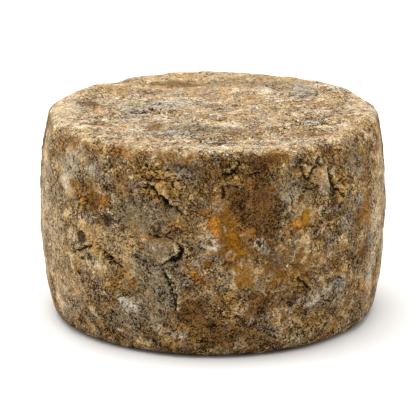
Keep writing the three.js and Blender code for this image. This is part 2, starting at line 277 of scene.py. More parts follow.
# Each row: degrees round, millimetres up, width, height, strength, tilt, and whether it is a ring.
FRONT_MARKS: dict[Bloom, Rows] = {
    # Tan ground. The tall ones at -66 and 68 degrees are painted sheen on the left and right edges seen from
    # the camera.
    Bloom.TAN: (
        (-42, 60, 26, 16, 0.75), (-30, 66, 16, 12, 0.7), (-52, 30, 22, 20, 0.55), (-66, 66, 16, 46, 0.7),
        (30, 57, 24, 17, 0.5), (56, 30, 22, 26, 0.55), (68, 70, 14, 44, 0.7), (42, 112, 20, 6, 0.6),
        (-101, 34, 14, 16, 0.7), (102, 92, 14, 14, 0.7), (60, 119.5, 26, 4, 0.9), (10, 50, 8, 9, 1.0),
        (-34, 116.5, 44, 4.4, 0.8), (31, 80, 8, 9, 1.0),
    ),
    # Grey-brown ground.
    Bloom.TAUPE: (
        (-48, 98, 24, 18, 0.7), (-24, 84, 20, 14, 0.8), (-20, 38, 20, 22, 0.9), (-32, 18, 26, 14, 0.6),
        (-13, 62, 12, 12, 0.5), (28, 96, 16, 16, 0.7), (40, 26, 20, 16, 0.6), (50, 74, 14, 16, 0.5),
        (-2, 26, 12, 10, 0.4), (-97, 62, 18, 16, 0.7), (98, 46, 18, 16, 0.7), (-58, 88, 8, 8, 0.3),
        (-54, 88, 8, 8, 0.3), (-66, 64, 9, 10, 0.4), (20, 92, 8, 10, 0.4), (-18, 62.5, 9, 7, 0.5),
        (40, 100, 12, 12, 0.6),
    ),
    # Damp brown ground.
    Bloom.UMBER: (
        (20, 50, 8, 5, 0.5), (34, 46, 8, 5, 0.6), (12, 98, 20, 18, 0.95), (16, 84, 14, 12, 0.8),
        (2, 112, 14, 7, 0.6), (6, 15, 20, 9, 0.7), (16, 30, 12, 9, 0.4), (-8, 108, 12, 5, 0.4),
        (-10, 24, 14, 10, 0.5), (18, 74, 10, 8, 0.6), (-30, 77, 8, 6, 0.5), (18, 112, 10, 6, 0.6),
        (-55, 12, 22, 6, 0.4), (-6, 33, 10, 14, 0.8), (-4, 15, 12, 8, 0.7), (14, 33, 12, 8, 0.6),
        (42, 108, 12, 9, 0.6), (62, 92, 12, 9, 0.4), (44, 74, 10, 10, 0.5), (60, 52, 14, 10, 0.5),
        (-66, 82, 12, 12, 0.6), (-4, 90, 12, 9, 0.4), (-91, 84, 13, 12, 0.7), (-92, 22, 14, 10, 0.7),
        (93, 74, 13, 14, 0.7), (91, 27, 13, 10, 0.7), (67, 51, 11, 10, 0.5), (12, 70, 5, 8, 0.5),
        (-42, 86, 7, 7, 1.0), (-1.3, 69, 2.6, 2.4, 1.0),
    ),
    # Where the crust is worn and pale, or a smooth scab. Large ones at 68 to 85 degrees either way below 100
    # mm are painted sheen on the left and right edges seen from the camera.
    Bloom.BARE: (
        (-58, 22, 18, 15, 0.55), (-54, 58, 10, 12, 0.4), (-38, 50, 16, 9, 0.45), (-50, 108, 20, 9, 0.4),
        (67, 24, 9, 14, 0.8), (-56, 94, 10, 12, 0.6), (-79, 94, 14, 24, 0.7, 14),
        (-83, 54, 20, 22, 0.8, -12), (-79, 22, 16, 14, 0.6), (81, 92, 14, 24, 0.6, -14),
        (85, 52, 22, 20, 0.6, 12), (80, 20, 14, 14, 0.5), (-66, 14, 14, 8, 0.6), (68, 63, 7, 9, 0.15),
        (-42, 52, 9, 5, 0.5), (-54, 65, 8, 6, 0.3), (-55, 88, 7, 7, 0.2), (-54, 88, 8, 8, 0.25),
        (-42, 17, 8, 6, 0.3), (-30, 52, 8, 5, 0.3), (9.8, 51, 5, 6, 0.5), (31.4, 80, 5, 6, 0.6),
        (36, 31, 12, 3.4, 0.6, 34), (-16.5, 17, 8, 5, 0.8), (-68, 70, 12, 40, 0.35), (70, 62, 10, 34, 0.5),
        (-43, 100, 9, 7, 0.4), (-17, 103, 9, 6, 0.3), (36, 104, 12, 8, 0.5), (41, 99, 8, 9, 0.4),
        (-18, 63, 9, 7, 0.55), (10, 51, 7, 8, 1.0), (-42, 66, 14, 8, 0.5), (-32, 62, 9, 5, 0.5),
        (6, 66, 7, 9, 0.4), (30, 52, 14, 12, 0.3), (-78, 106, 10, 12, 0.2), (78, 106, 10, 12, 0.2),
    ),
    # Blue-grey and slate mould. Those at -72 and -74 degrees are painted sheen, greying the left edge seen
    # from the camera.
    Bloom.SLATE: (
        (-72, 84, 10, 20, 0.45, -10), (-74, 50, 12, 14, 0.4), (-88, 106, 9, 7, 0.5), (89, 88, 7, 9, 0.5),
        (-18, 62.5, 10, 8, 0.35), (-15, 44, 11, 15, 0.35), (-26, 20, 16, 10, 0.35), (46, 37.5, 7, 8, 1.0),
        (56.5, 81, 4, 6, 1.2), (-42.5, 101.5, 5, 5, 0.6), (-50, 97, 11, 7, 0.5), (27, 99, 8, 9, 0.45),
        (46, 71, 6, 6, 0.6), (66, 32, 6, 7, 0.8), (16.4, 63, 4, 3, 0.7), (17, 97, 9, 8, 0.4),
        (26, 26, 10, 8, 0.4), (-27, 76, 8, 8, 0.45), (10, 26, 11, 7, 0.3), (-11, 108.5, 11, 3.6, 0.9),
    ),
    # Ochre: the big bloom in the middle, what runs down from it, and the spots beside it.
    Bloom.OCHRE: (
        (24, 54, 16, 15, 0.5), (18, 42, 10, 8, 0.4), (-94, 102, 9, 6, 0.6), (94, 58, 9, 7, 0.6),
        (62, 119, 20, 3, 0.4), (42, 29, 8, 6, 0.3), (5, 76, 8.5, 14, 0.9), (10.2, 49.5, 5.5, 9, 0.9, -8),
        (7, 64, 6.5, 9, 1.1), (-1.5, 56, 3.6, 3, 1.0), (-52, 90, 6, 5, 0.9), (-45, 89, 8, 7, 0.7),
        (31, 80, 5, 6, 1.1), (56, 72, 5, 6, 0.9), (22, 112, 12, 4, 0.6), (30, 42, 9, 8, 0.4),
        (-41, 69, 7, 5, 0.3), (-30, 58, 8, 7, 0.35),
    ),
    # Rust: in and round the ochre, in spots on the left, and in a band under the rim.
    Bloom.RUST: (
        (34, 62, 14, 9, 0.3), (-90, 46, 8, 9, 0.7), (91, 100, 9, 7, 0.6), (66, 76, 6, 8, 0.5),
        (0.4, 79.5, 2.8, 8.5, 1.3, 6), (2, 71, 2.2, 3.4, 0.9), (5, 74, 6.5, 12, 0.35),
        (11, 63.4, 3, 3, 0.6), (-2.5, 85.5, 3.4, 2.2, 1.2), (12, 74, 4, 4.5, 0.9),
        (-6.2, 51.6, 3.4, 2.6, 1.3), (-4.6, 47.6, 4.6, 3.0, 1.2), (2, 47, 6, 5, 0.45),
        (-37.5, 85.5, 4.5, 5, 1.25), (-48.3, 84, 2.4, 7, 1.25), (-48.6, 93, 2.2, 3.5, 1.1),
        (-53, 88, 6, 4.5, 0.6), (-26.5, 42, 3.0, 3.4, 1.2), (-33, 41, 2.6, 4, 1.2),
        (-34, 33, 2.4, 3.6, 1.0), (-20, 27, 2.0, 3.0, 1.0), (-20, 36, 1.8, 2.0, 1.0),
        *((turn, 114.8, 10, 4.2, 0.29) for turn in range(-62, 0, 5)), (27.4, 76, 3.6, 3.4, 1.2, 25),
        (60, 78, 5, 6, 1.1), (62.6, 88, 4, 8, 0.7), (61.5, 69, 5, 5, 1.0), (64, 22, 10, 5, 0.6),
        (52, 47, 4, 5, 0.4), (9, 110, 8, 9, 0.5), (12.5, 100, 4.5, 6, 0.7), (4, 106, 6, 3.5, 0.6),
        (16.5, 86, 4, 7, 0.35), (8, 93, 5, 4, 0.55), (46, 104, 3.4, 7, 0.45), (46, 20, 12, 6, 0.35),
        (-7, 20, 7, 5, 0.4),
    ),
    # Dark, damp or rubbed spots, and painted shade in the gaps among the scabs.
    Bloom.SOOT: (
        (-91, 66, 3, 3, 0.9), (92, 40, 3, 3, 0.9), (-1.0, 68.6, 1.4, 1.3, 0.7), (14.7, 67.8, 1.4, 1.3, 0.8),
        (-15.6, 18.6, 1.8, 1.8, 1.2), (-19.6, 13.4, 1.6, 1.6, 1.1), (-12.8, 18, 1.5, 1.3, 1.1),
        (-36, 10.5, 1.8, 1.4, 1.0), (-46.8, 62.4, 4.2, 3.2, 1.25, -35), (-43, 52, 2.4, 1.8, 1.0),
        (-46.4, 49.6, 2.0, 1.6, 0.9), (-35, 76.5, 4.2, 4.0, 0.9), (-9.5, 109.5, 11, 3.2, 0.6),
        (8, 98, 12, 12, 0.25), (17, 87, 13, 9, 0.2), (12, 111, 9, 5, 0.5), (24, 83, 5, 6, 0.3),
        (52, 62, 10, 14, 0.3), (-20, 10, 22, 4, 0.35), (-35.5, 108.5, 3, 3, 0.6), (31.5, 98, 2.2, 3.6, 0.9),
        (28.5, 106, 1.6, 3.0, 0.8), (35, 95.5, 3.2, 1.6, 0.8), (30.5, 111, 2.6, 1.6, 0.8),
        (41.5, 92, 1.6, 4.4, 0.8), (8, 109, 2.0, 3.0, 0.8), (3, 96, 1.8, 2.6, 0.6),
        (-14, 98, 2.6, 2.2, 0.6),
    ),
    # White crusts, in rings and crumbs, and below 0 the holes in them. The large soft ones at 66 to 82
    # degrees either way are painted sheen on the left and right edges seen from the camera.
    Bloom.CHALK: (
        (-56, 24, 16, 14, 0.25), (-78, 74, 9, 22, 0.35, 14), (-82, 36, 14, 16, 0.3),
        (78, 78, 9, 20, 0.35, -10), (81, 44, 14, 14, 0.3), (-1.3, 69, 4.6, 4.2, 1.1, 0, True),
        (1.2, 67.4, 1.4, 2.4, 0.6, 20), (0.8, 67.4, 1.6, 3.0, 1.2, 20),
        (14.7, 67.8, 3.1, 3.1, 1.2, 0, True), (5.5, 61, 3.2, 3.0, 0.5, 0, True),
        (-4.5, 56.4, 1.0, 2.8, 0.9, -12), (-1, 59.7, 3.6, 0.9, 0.9), (0.5, 57.4, 1.4, 1.6, 0.8),
        (25.6, 58.6, 1.8, 2.4, 0.75), (44.2, 25.4, 1.6, 1.4, 0.95), (47.6, 26.6, 1.6, 1.4, 0.9),
        (39, 33, 12, 1.6, 0.9, 34), (33, 27.4, 5, 1.8, 0.6, 20), (-30.4, 32, 4.6, 2.8, 1.1, -35),
        (-27.4, 28.6, 5.4, 3.4, 1.1, -25), (-25, 31.5, 2.4, 1.8, 0.7), (-18, 16.5, 4, 3.6, 0.9),
        (-13.6, 14.4, 3.6, 2.8, 1.1), (-15.6, 18.6, 2, 2, -0.8), (-19.6, 13.4, 1.8, 1.8, -1.2),
        (-12.8, 18, 1.7, 1.5, -1.2), (-10, 14.2, 3.0, 2.6, 1.2), (-66, 62, 12, 34, 0.35),
        (68, 60, 9, 28, 0.55), (25.5, 91, 4.5, 3, 0.6), (34, 103, 6, 5, 0.35), (-42.5, 101.5, 4, 4, 0.5),
    ),
    # Crags, where the crust has lifted in scabs, and below 0 where it is smooth.
    Bloom.CRAG: (
        (-16, 101, 14, 11, 1.0), (-22, 108, 12, 5, 0.8), (33, 103, 12, 8, 1.0), (46, 93, 9, 12, 0.9),
        (8, 107, 9, 8, 0.9), (-33, 40, 8, 8, 0.8), (-38, 56, 14, 5, 0.6), (-48, 88, 7, 12, 0.7),
        (30, 42, 8, 8, 0.7), (46, 44, 7, 9, 0.8), (4, 37, 9, 6, 0.8), (-12, 14, 20, 9, 0.7),
        (36, 16, 20, 8, 0.6), (-18, 63, 10, 8, -0.6), (4, 72, 12, 16, -0.5), (10, 52, 10, 9, -0.5),
        (-24, 72, 16, 7, -0.5), (-9, 84, 12, 6, -0.4), (16, 93, 12, 14, -0.35), (-22, 84, 12, 9, -0.4),
        (-78, 106, 10, 12, -0.8), (78, 106, 10, 12, -0.8), (26, 56, 22, 14, -0.5), (-45, 68, 16, 7, -0.4),
        (-56, 40, 12, 12, -0.4), (-77, 84, 12, 28, -0.4, 10), (-79, 36, 14, 24, -0.4, -10),
        (77, 82, 12, 28, -0.3, -10), (79, 38, 14, 24, -0.3, 10),
    ),
    # Where the crust is paler, and below 0 where it is darker. The pale ones at 79 to 86 degrees either way
    # are painted sheen on the left and right edges seen from the camera.
    Bloom.DUST: (
        (23, 60, 17, 14, -0.95), (-50, 112, 26, 7, 0.7), (-79, 84, 14, 26, 0.6, 10),
        (-82, 40, 20, 20, 0.6, -8), (82, 82, 12, 26, 0.4, -8), (86, 42, 18, 20, 0.4),
        (-46, 99, 24, 10, 1.0), (-57.5, 87, 9.5, 9, 1.25), (-54, 60, 11, 16, 1.25), (-35, 51.5, 19, 9, 1.2),
        (-30, 90, 9, 8, 0.9), (52, 100, 10, 9, 1.25), (68, 68, 9, 14, 0.8), (-55, 102, 10, 8, 0.9),
        (-5, 27, 9, 7, 1.25), (-43, 16, 10, 7, 1.0), (68, 112, 10, 8, 0.5), (65.5, 50, 10, 11, -1.25),
        (-67, 36, 10, 14, 1.0), (-65, 16, 15, 10, 1.25), (23, 16, 15, 8, 1.0), (19, 112.5, 11, 6, -1.15),
        (60, 87, 16, 10, -1.25), (46.5, 36, 7, 8, 1.2), (68, 27, 10, 14, 0.7), (-9, 88.5, 14, 7.5, -1.1),
        (-67, 77, 10, 10, -1.25), (18.5, 64, 8, 15, -0.75), (20, 41, 9, 7, 0.7), (-43, 87, 8, 7, -1.0),
        (-33, 40, 13, 16, 0.9), (-54.5, 41, 10, 9, -1.0), (42, 113, 10, 5, -0.9), (-30, 15, 10, 7, -0.8),
        (55.5, 41, 10, 8, -0.8), (-12, 112, 16, 4, -0.7), (-29, 77.5, 9, 8, -1.15), (15, 94, 12, 16, -1.0),
        (-20, 119.6, 90, 2.4, -0.7), (-35, 115, 44, 3, -0.3), (62, 119.5, 24, 3, -0.3),
        (10.4, 50, 5, 7, 1.0), (3, 53, 4.6, 6, -0.5), (6, 65, 9, 11, -1.25), (12, 84, 14, 8, -0.4),
        (-37.5, 85.5, 5, 5, -0.5), (30.5, 82, 8, 9, 0.9), (31, 80, 5, 6, 1.3), (-18, 17, 10, 7, 1.0),
        (27.5, 94, 9, 9, 0.7), (-17, 104, 11, 7, 1.2), (-22, 108, 9, 4, 0.5), (32, 102, 8, 8, 1.2),
        (42, 100, 10, 9, 1.0),
    ),
}

# Each row: millimetres across and back from the middle, width, height and strength.
TOP_MARKS: dict[Bloom, Rows] = {
    # Tan districts.
    Bloom.TAN: (
        (-60, 42, 18, 14, 0.86), (-20, 78, 36, 8, 0.96), (36, 74, 24, 8, 0.77), (18, 22, 16, 26, 0.67),
        (72, 26, 10, 20, 0.77), (-4, -12, 18, 12, 0.58),
    ),
    # Grey-brown districts.
    Bloom.TAUPE: (
        (-10, -46, 26, 18, 1), (40, 56, 22, 14, 0.9), (30, -4, 16, 16, 0.5), (-30, 38, 22, 12, 0.5),
    ),
    # Brown spots.
    Bloom.UMBER: (
        (-71, 10, 8, 14, 0.8), (-65, -34, 8, 9, 0.8), (-26, 60, 22, 7, 0.72), (12, 66, 18, 8, 0.56),
        (66, -12, 8, 10, 0.56), (0, -66, 18, 5, 0.56), (-34, -22, 10, 8, 0.4), (-15, 60, 18, 9, 0.3),
    ),
    # Cream crusts, thickest at the rim.
    Bloom.BARE: (
        (-84, 0, 8, 40, 0.9), (31, 47, 5, 7, 1.2), (24, 34, 10, 6, 0.6), (62, -43, 8, 5, 1),
        (76, -40, 6, 8, 0.9), (-52, -32, 7, 8, 0.5), (0, -87, 34, 6, 0.5), (-42, -82, 20, 6, 0.7),
        (42, -78, 18, 7, 0.7), (84, 14, 6, 34, 0.7), (-66, -60, 10, 9, 0.5), (34, -20, 8, 14, 0.5),
        (8, -6, 8, 16, 0.4), (-38, -16, 12, 7, 0.3), (9, -31, 12, 6, 0.4), (-40, -15, 10, 6, 0.3),
    ),
    # Grey mould in broad districts.
    Bloom.SLATE: (
        (-42, -6, 20, 22, 0.8), (-22, 14, 20, 12, 0.7), (-24, -57, 20, 12, 1), (52, 42, 10, 24, 1),
        (55, -28, 8, 11, 1.2), (8, 62, 18, 8, 0.7), (-60, 16, 12, 10, 0.5), (3.5, -76, 6, 5, 0.6),
        (-56, -69, 7, 4, 0.7), (70, -5, 5, 5, 0.7), (0, -30, 10, 5, 0.3), (-14, -15, 9, 8, 0.5),
        (30, -14, 9, 8, 0.8), (0, -74, 9, 5, 0.6),
    ),
    # Golden districts.
    Bloom.OCHRE: (
        (-33, -38, 5.5, 9, 0.94), (-8, 44, 30, 12, 0.38), (33, -42, 10, 11, 0.56), (53, -58, 14, 6, 0.75),
        (64, 10, 8, 16, 0.65), (78, -22, 6, 8, 0.65), (12, -20, 22, 14, 0.33), (22, 32, 5, 5, 0.75),
        (-62, 46, 10, 8, 0.43), (8, -50, 16, 7, 0.47), (-6, -17, 5, 4, 0.65), (-12, 80, 30, 5, 0.47),
    ),
    # Rusty spots.
    Bloom.RUST: (
        (-56, -52, 8, 8, 0.53), (-55, -80, 14, 7, 0.35), (28, -60, 5, 4, 0.85), (-78, -28, 6, 10, 0.43),
        (66, 12, 4, 8, 0.53),
    ),
    # Dark spots.
    Bloom.SOOT: (
        (3.5, -76, 5, 4, 0.81), (-56, -69, 5, 3, 0.5), (70, -5, 4, 4, 0.63), (57, -50, 9, 2, 0.63),
        (-33, -3, 4, 3, 0.63), (-38, -13, 4, 3, 0.54), (2, 3, 3, 5, 0.54), (20, -12, 5, 4, 0.45),
        (37, -48, 3, 4, 0.54), (52, -22, 5, 7, 0.45), (-74, 14, 6, 6, 0.36),
    ),
    # White crusts.
    Bloom.CHALK: (
        (31, 47, 5, 6, 0.7), (61, -42, 5, 4, 0.6), (5, -35, 9, 2, 0.9), (-53, -32, 4, 5, 0.8),
        (30, -38, 5, 6, 0.5), (-20, 16, 16, 8, 0.35), (18, -86, 8, 3, 0.5), (-8, -82, 8, 3, 0.5),
    ),
    # Pitted and scabby districts, and below 0 a smooth one.
    Bloom.CRAG: (
        (-36, -8, 18, 16, 0.3), (0, -60, 34, 9, 0.35), (56, -32, 14, 20, 0.4), (32, -46, 10, 10, 0.35),
        (0, 60, 70, 24, -0.5),
    ),
    # Paler districts, and below 0 darker ones.
    Bloom.DUST: (
        (31, 47, 6, 8, 0.5), (-16, 14, 24, 12, 0.35), (-66, 10, 10, 14, -0.4), (-66, -34, 9, 9, -0.4),
        (60, -24, 12, 16, -0.5), (-20, 60, 50, 8, -0.35), (54, 40, 14, 22, -0.3), (0, -64, 34, 8, -0.35),
        (-30, -50, 16, 12, -0.25), (68, -40, 12, 7, 0.4), (0, -88, 50, 6, 0.1), (0, 0, 88, 88, -0.08),
        (0, 61, 62, 10, -1.0), (-45, 44, 13, 9, -1.2), (30, 74, 14, 6, -1.0), (-38, -15, 13, 9, 1.3),
        (7, -31, 14, 7, 1.3), (0, 15, 8, 7, -0.8), (60, 42, 7, 9, -0.8), (0, -61, 9, 6, -0.8),
        (15, 30, 8, 8, 1.0), (30, -44, 7, 7, 0.4), (15, -46, 9, 8, -1.1), (46, -46, 9, 8, -0.9),
        (-30, -61, 12, 7, -0.8), (15, -74, 10, 6, -0.9), (53, 14, 14, 10, -0.9), (-61, -30, 9, 8, -0.9),
        (-64, 7, 12, 14, -0.9),
    ),
}


@dataclass
class StrewnMarks:
    """Marks strewn by a fixed seed over the faces where none is listed, as thickly as on the front.

    Lengths are in millimetres and turns in degrees.
    """

    seed: int = 41
    side_count: int = 170
    base_count: int = 80
    rim_count: int = 54
    front_edge: float = 86.0
    heights: Pair = (8, 115)
    base_reach: float = 86.0
    # One for each kind in its order. The lightness marks come last and aren't strewn.
    chances: tuple[float, ...] = (0.09, 0.09, 0.09, 0.07, 0.12, 0.1, 0.15, 0.09, 0.1, 0.1)
    broad: Pair = (12, 28)
    small_or_middling: tuple[Pair, Pair] = ((2, 6), (6, 13))
    size_chances: Pair = (0.6, 0.4)
    shapes: Pair = (0.6, 1.6)
    strengths: Pair = (0.45, 1.0)
    small: float = 6.0
    large_strength: float = 0.75
    tilts: Pair = (-40, 40)
    ring_chance: float = 0.25
    widest_ring: float = 5.0
    # The least and the most of the height, width, tallness and strength of the marks along the rim.
    fringe: tuple[Pair, ...] = ((118, 122), (4, 12), (1.4, 3), (0.2, 0.7))
    band: tuple[Pair, ...] = ((112.5, 115.5), (6, 18), (1.5, 3.5), (0.3, 0.8))

    def one(self, rng: np.random.Generator, face: Face) -> Mark:
        """Draws one mark.

        Args:
            rng: the seeded source of chance.
            face: the face it lies on.

        Returns:
            The mark.
        """
        bloom = list(Bloom)[rng.choice(len(self.chances), p=self.chances)]
        if bloom in (Bloom.TAN, Bloom.TAUPE, Bloom.UMBER):
            size = float(rng.uniform(*self.broad))
        else:
            sizes = [rng.uniform(*span) for span in self.small_or_middling]
            size = float(rng.choice(sizes, p=self.size_chances))
        shape = float(rng.uniform(*self.shapes))
        strength = float(rng.uniform(*self.strengths)) * (1.0 if size < self.small else self.large_strength)
        if face is Face.SIDE:
            across = float(rng.uniform(self.front_edge, 360 - self.front_edge))
            across = across - 360 if across > 180 else across
            up = float(rng.uniform(*self.heights))
        else:
            turn, reach = rng.uniform(0, 2 * math.pi), self.base_reach * math.sqrt(rng.random())
            across, up = float(reach * math.cos(turn)), float(reach * math.sin(turn))
        ring = bloom is Bloom.CHALK and bool(rng.random() < self.ring_chance)
        size = min(size, self.widest_ring) if ring else size
        tilt = float(rng.uniform(*self.tilts))
        return Mark(bloom, across, up, size, size * shape, strength, tilt, ring, face)

    @staticmethod
    def along_rim(
        rng: np.random.Generator, bloom: Bloom, turns: np.ndarray, spans: tuple[Pair, ...]
    ) -> list[Mark]:
        """Draws marks along the rim.

        Args:
            rng: the seeded source of chance.
            bloom: their kind.
            turns: where each lies, in degrees.
            spans: the least and the most of their height, width, tallness and strength.

        Returns:
            The marks.
        """
        return [Mark(bloom, turn, *[rng.uniform(*span) for span in spans]) for turn in turns]

    def on_rim(self, rng: np.random.Generator) -> list[Mark]:
        """Draws the pale fringe on the rim, partly wear and partly a painted highlight, and behind the front
        the rusty band under it.

        Args:
            rng: the seeded source of chance.

        Returns:
            The marks.
        """
        fringe = self.along_rim(rng, Bloom.BARE, rng.uniform(-180, 180, self.rim_count), self.fringe)
        behind = rng.uniform(self.front_edge, 360 - self.front_edge, self.rim_count // 3)
        return fringe + self.along_rim(rng, Bloom.RUST, behind, self.band)

    def marks(self) -> list[Mark]:
        """Draws every mark.

        Returns:
            The marks, the same ones each time.
        """
        rng = np.random.default_rng(self.seed)
        side = [self.one(rng, Face.SIDE) for _ in range(self.side_count)]
        base = [self.one(rng, Face.BASE) for _ in range(self.base_count)]
        return side + base + self.on_rim(rng)


@dataclass
class WheelBlank:
    """The plain wheel in even squares of about a millimetre, laid on the solid, before its crust is raised.

    Its flat pattern lies on a sheet: the side in strips, and the top and the base as discs.
    """

    radius: float = 100 * MM
    height: float = 120 * MM
    belly_height: float = 64 * MM
    belly_arc: float = 285 * MM
    corner: float = 8 * MM
    foot_step: float = 2.4 * MM
    columns: int = 600
    rows: int = 118
    strips: int = 3
    # The first strip is the front one, so no seam crosses the front.
    first_strip_column: int = 425
    sheet: float = 400 * MM
    sheet_edge: float = 3 * MM
    strip_gap: float = 4 * MM
    # Where each disc's middle is on the sheet, and how large it is there.
    top_on_sheet: tuple[float, float, float] = (302 * MM, 93 * MM, 1.0)
    base_on_sheet: tuple[float, float, float] = (278 * MM, 250 * MM, 0.62)
    # Rays start this far outside. The rounds of evening take out the solid's facets and find its broad shape.
    probe: float = 8 * MM
    facet_rounds: int = 12
    broad_rounds: int = 40
    # How far from its broad shape it may go. This closes the solid's open cracks, which are cut again later.
    deepest: float = 0.5 * MM
    highest: float = 1.2 * MM

    def section(self) -> tuple[np.ndarray, np.ndarray, float]:
        """Works out the side's cross-section from the foot's inner edge to the rim's inner edge.

        Returns:
            The radius and height of each ring, the outward normal of each, and the length of the section.
        """
        centre, reach = self.radius - self.belly_arc, self.belly_arc - self.corner
        low_z, high_z = self.corner, self.height - self.corner
        low_r = centre + math.sqrt(reach**2 - (low_z - self.belly_height) ** 2)
        high_r = centre + math.sqrt(reach**2 - (high_z - self.belly_height) ** 2)
        low_turn = math.atan2(low_z - self.belly_height, low_r - centre)
        high_turn = math.atan2(high_z - self.belly_height, high_r - centre)
        arcs = (
            (low_r, low_z, self.corner, -math.pi / 2, low_turn),
            (centre, self.belly_height, self.belly_arc, low_turn, high_turn),
            (high_r, high_z, self.corner, high_turn, math.pi / 2),
        )
        ends = np.concatenate([[0.0], np.cumsum([bend * (end - start) for _, _, bend, start, end in arcs])])
        places, outward = [], []
        for way in np.linspace(0, ends[-1], self.rows + 1):
            i = min(int(np.searchsorted(ends, way, side="right")) - 1, len(arcs) - 1)
            r, z, bend, start, _ = arcs[i]
            turn = start + (way - ends[i]) / bend
            places.append((r + bend * math.cos(turn), z + bend * math.sin(turn)))
            outward.append((math.cos(turn), math.sin(turn)))
        return np.array(places), np.array(outward), float(ends[-1])

    @staticmethod
    def disc(squares: int, edge: float, z: float) -> np.ndarray:
        """Lays a grid of squares over a disc so that its edge points are evenly spaced.

        Args:
            squares: the number of squares along each side of the grid.
            edge: the disc's radius.
            z: the disc's height.

        Returns:
            The places, as a square array of points.
        """
        line = np.linspace(-1, 1, squares + 1)
        a, b = np.meshgrid(line, line, indexing="ij")
        wide = np.abs(a) >= np.abs(b)
        reach = np.where(wide, a, b)
        share = np.divide(np.where(wide, b, a), reach, out=np.zeros_like(a), where=np.abs(reach) > 1e-9)
        turn = np.where(wide, share * math.pi / 4, math.pi / 2 - share * math.pi / 4)
        return np.stack([edge * reach * np.cos(turn), edge * reach * np.sin(turn), np.full_like(a, z)], -1)

    @staticmethod
    def border(squares: int) -> list[tuple[int, int]]:
        """Lists a disc's border places anticlockwise from the south-east corner of its grid.

        Args:
            squares: the number of squares along each side of the grid.

        Returns:
            The row and column of each place.
        """
        east = [(squares, j) for j in range(squares)]
        north = [(squares - i, squares) for i in range(squares)]
        west = [(0, squares - j) for j in range(squares)]
        south = [(i, 0) for i in range(squares)]
        return east + north + west + south

    def side_squares(self, length: float) -> tuple[list[tuple[int, ...]], list[Pair]]:
        """Lays the side's squares and cuts their flat pattern into strips.

        Args:
            length: the length of the cross-section.

        Returns:
            The faces, and the place of each of their corners on the sheet.
        """
        faces, flat = [], []
        per_strip = self.columns // self.strips
        wide, tall = 2 * math.pi * self.radius / self.columns, length / self.rows
        for j in range(self.rows):
            for i in range(self.columns):
                k = (i + 1) % self.columns
                low, high = j * self.columns, (j + 1) * self.columns
                faces.append((low + i, low + k, high + k, high + i))
                strip, column = divmod((i - self.first_strip_column) % self.columns, per_strip)
                x = self.sheet_edge + column * wide
                y = self.sheet_edge + strip * (length + self.strip_gap) + j * tall
                flat += [(x, y), (x + wide, y), (x + wide, y + tall), (x, y + tall)]
        return faces, flat

    def end_squares(
        self, points: np.ndarray, ring: np.ndarray, under: bool
    ) -> tuple[np.ndarray, list[tuple[int, ...]], list[Pair]]:
        """Lays the squares of the top or the base, joined to the side's last or first ring.

        Args:
            points: the blank's points so far.
            ring: the radius and the height of the side's ring.
            under: whether it is the base.

        Returns:
            Its own points, its faces, and the place of each of their corners on the sheet.
        """
        squares = self.columns // (8 if under else 4)
        grid = self.disc(squares, ring[0] - (self.foot_step if under else 0), ring[1])
        index = np.full(grid.shape[:2], -1)
        rim = self.border(squares)
        if not under:
            for k, place in enumerate(rim):
                index[place] = self.rows * self.columns + k
        free = index < 0
        index[free] = len(points) + np.arange(int(free.sum()))
        faces = [
            (index[i, j], index[i + 1, j], index[i + 1, j + 1], index[i, j + 1])
            for i in range(squares)
            for j in range(squares)
        ]
        if under:
            # The base has half as many squares round its edge as the foot, so five-sided faces join them.
            faces = [face[::-1] for face in faces]
            inner = [index[place] for place in rim]
            for k, place in enumerate(inner):
                after = inner[(k + 1) % len(inner)]
                faces.append((after, (2 * k + 2) % self.columns, 2 * k + 1, 2 * k, place))
        faces = [tuple(int(c) for c in face) for face in faces]
        places = np.concatenate([points, grid[free]])
        x, y, size = self.base_on_sheet if under else self.top_on_sheet
        tall = -size if under else size
        flat = [(x + size * places[c][0], y + tall * places[c][1]) for face in faces for c in face]
        return grid[free], faces, flat

    def lay(self, solid: bpy.types.Mesh) -> tuple[bpy.types.Object, np.ndarray]:
        """Builds the blank and lays it on the solid.

        Args:
            solid: the solid's mesh, its doubles merged.

        Returns:
            The blank as an object, and the place of each of its points.
        """
        rings, outward, length = self.section()
        turns = -math.pi / 4 + np.arange(self.columns) * 2 * math.pi / self.columns
        compass = np.stack([np.cos(turns), np.sin(turns)], -1)[None]
        spread = [rings[:, None, :1] * compass, np.repeat(rings[:, None, 1:], self.columns, 1)]
        turned = [outward[:, None, :1] * compass, np.repeat(outward[:, None, 1:], self.columns, 1)]
        points = np.concatenate(spread, -1).reshape(-1, 3)
        normals = np.concatenate(turned, -1).reshape(-1, 3)
        faces, flat = self.side_squares(length)
        for under in (False, True):
            inner, squares, corners = self.end_squares(points, rings[0] if under else rings[-1], under)
            points = np.concatenate([points, inner])
            normals = np.concatenate([normals, np.tile([0.0, 0.0, -1.0 if under else 1.0], (len(inner), 1))])
            faces += squares
            flat += corners

        laid = self.laid_on(points, normals, faces, solid)
        mesh = bpy.data.meshes.new("rind_blank")
        mesh.from_pydata(laid.tolist(), [], faces)
        pattern = mesh.uv_layers.new(name="OFBake")
        pattern.uv.foreach_set("vector", (np.array(flat, np.float32) / self.sheet).ravel())
        mesh.shade_smooth()
        blank = bpy.data.objects.new("rind_blank", mesh)
        bpy.context.scene.collection.objects.link(blank)
        return blank, laid

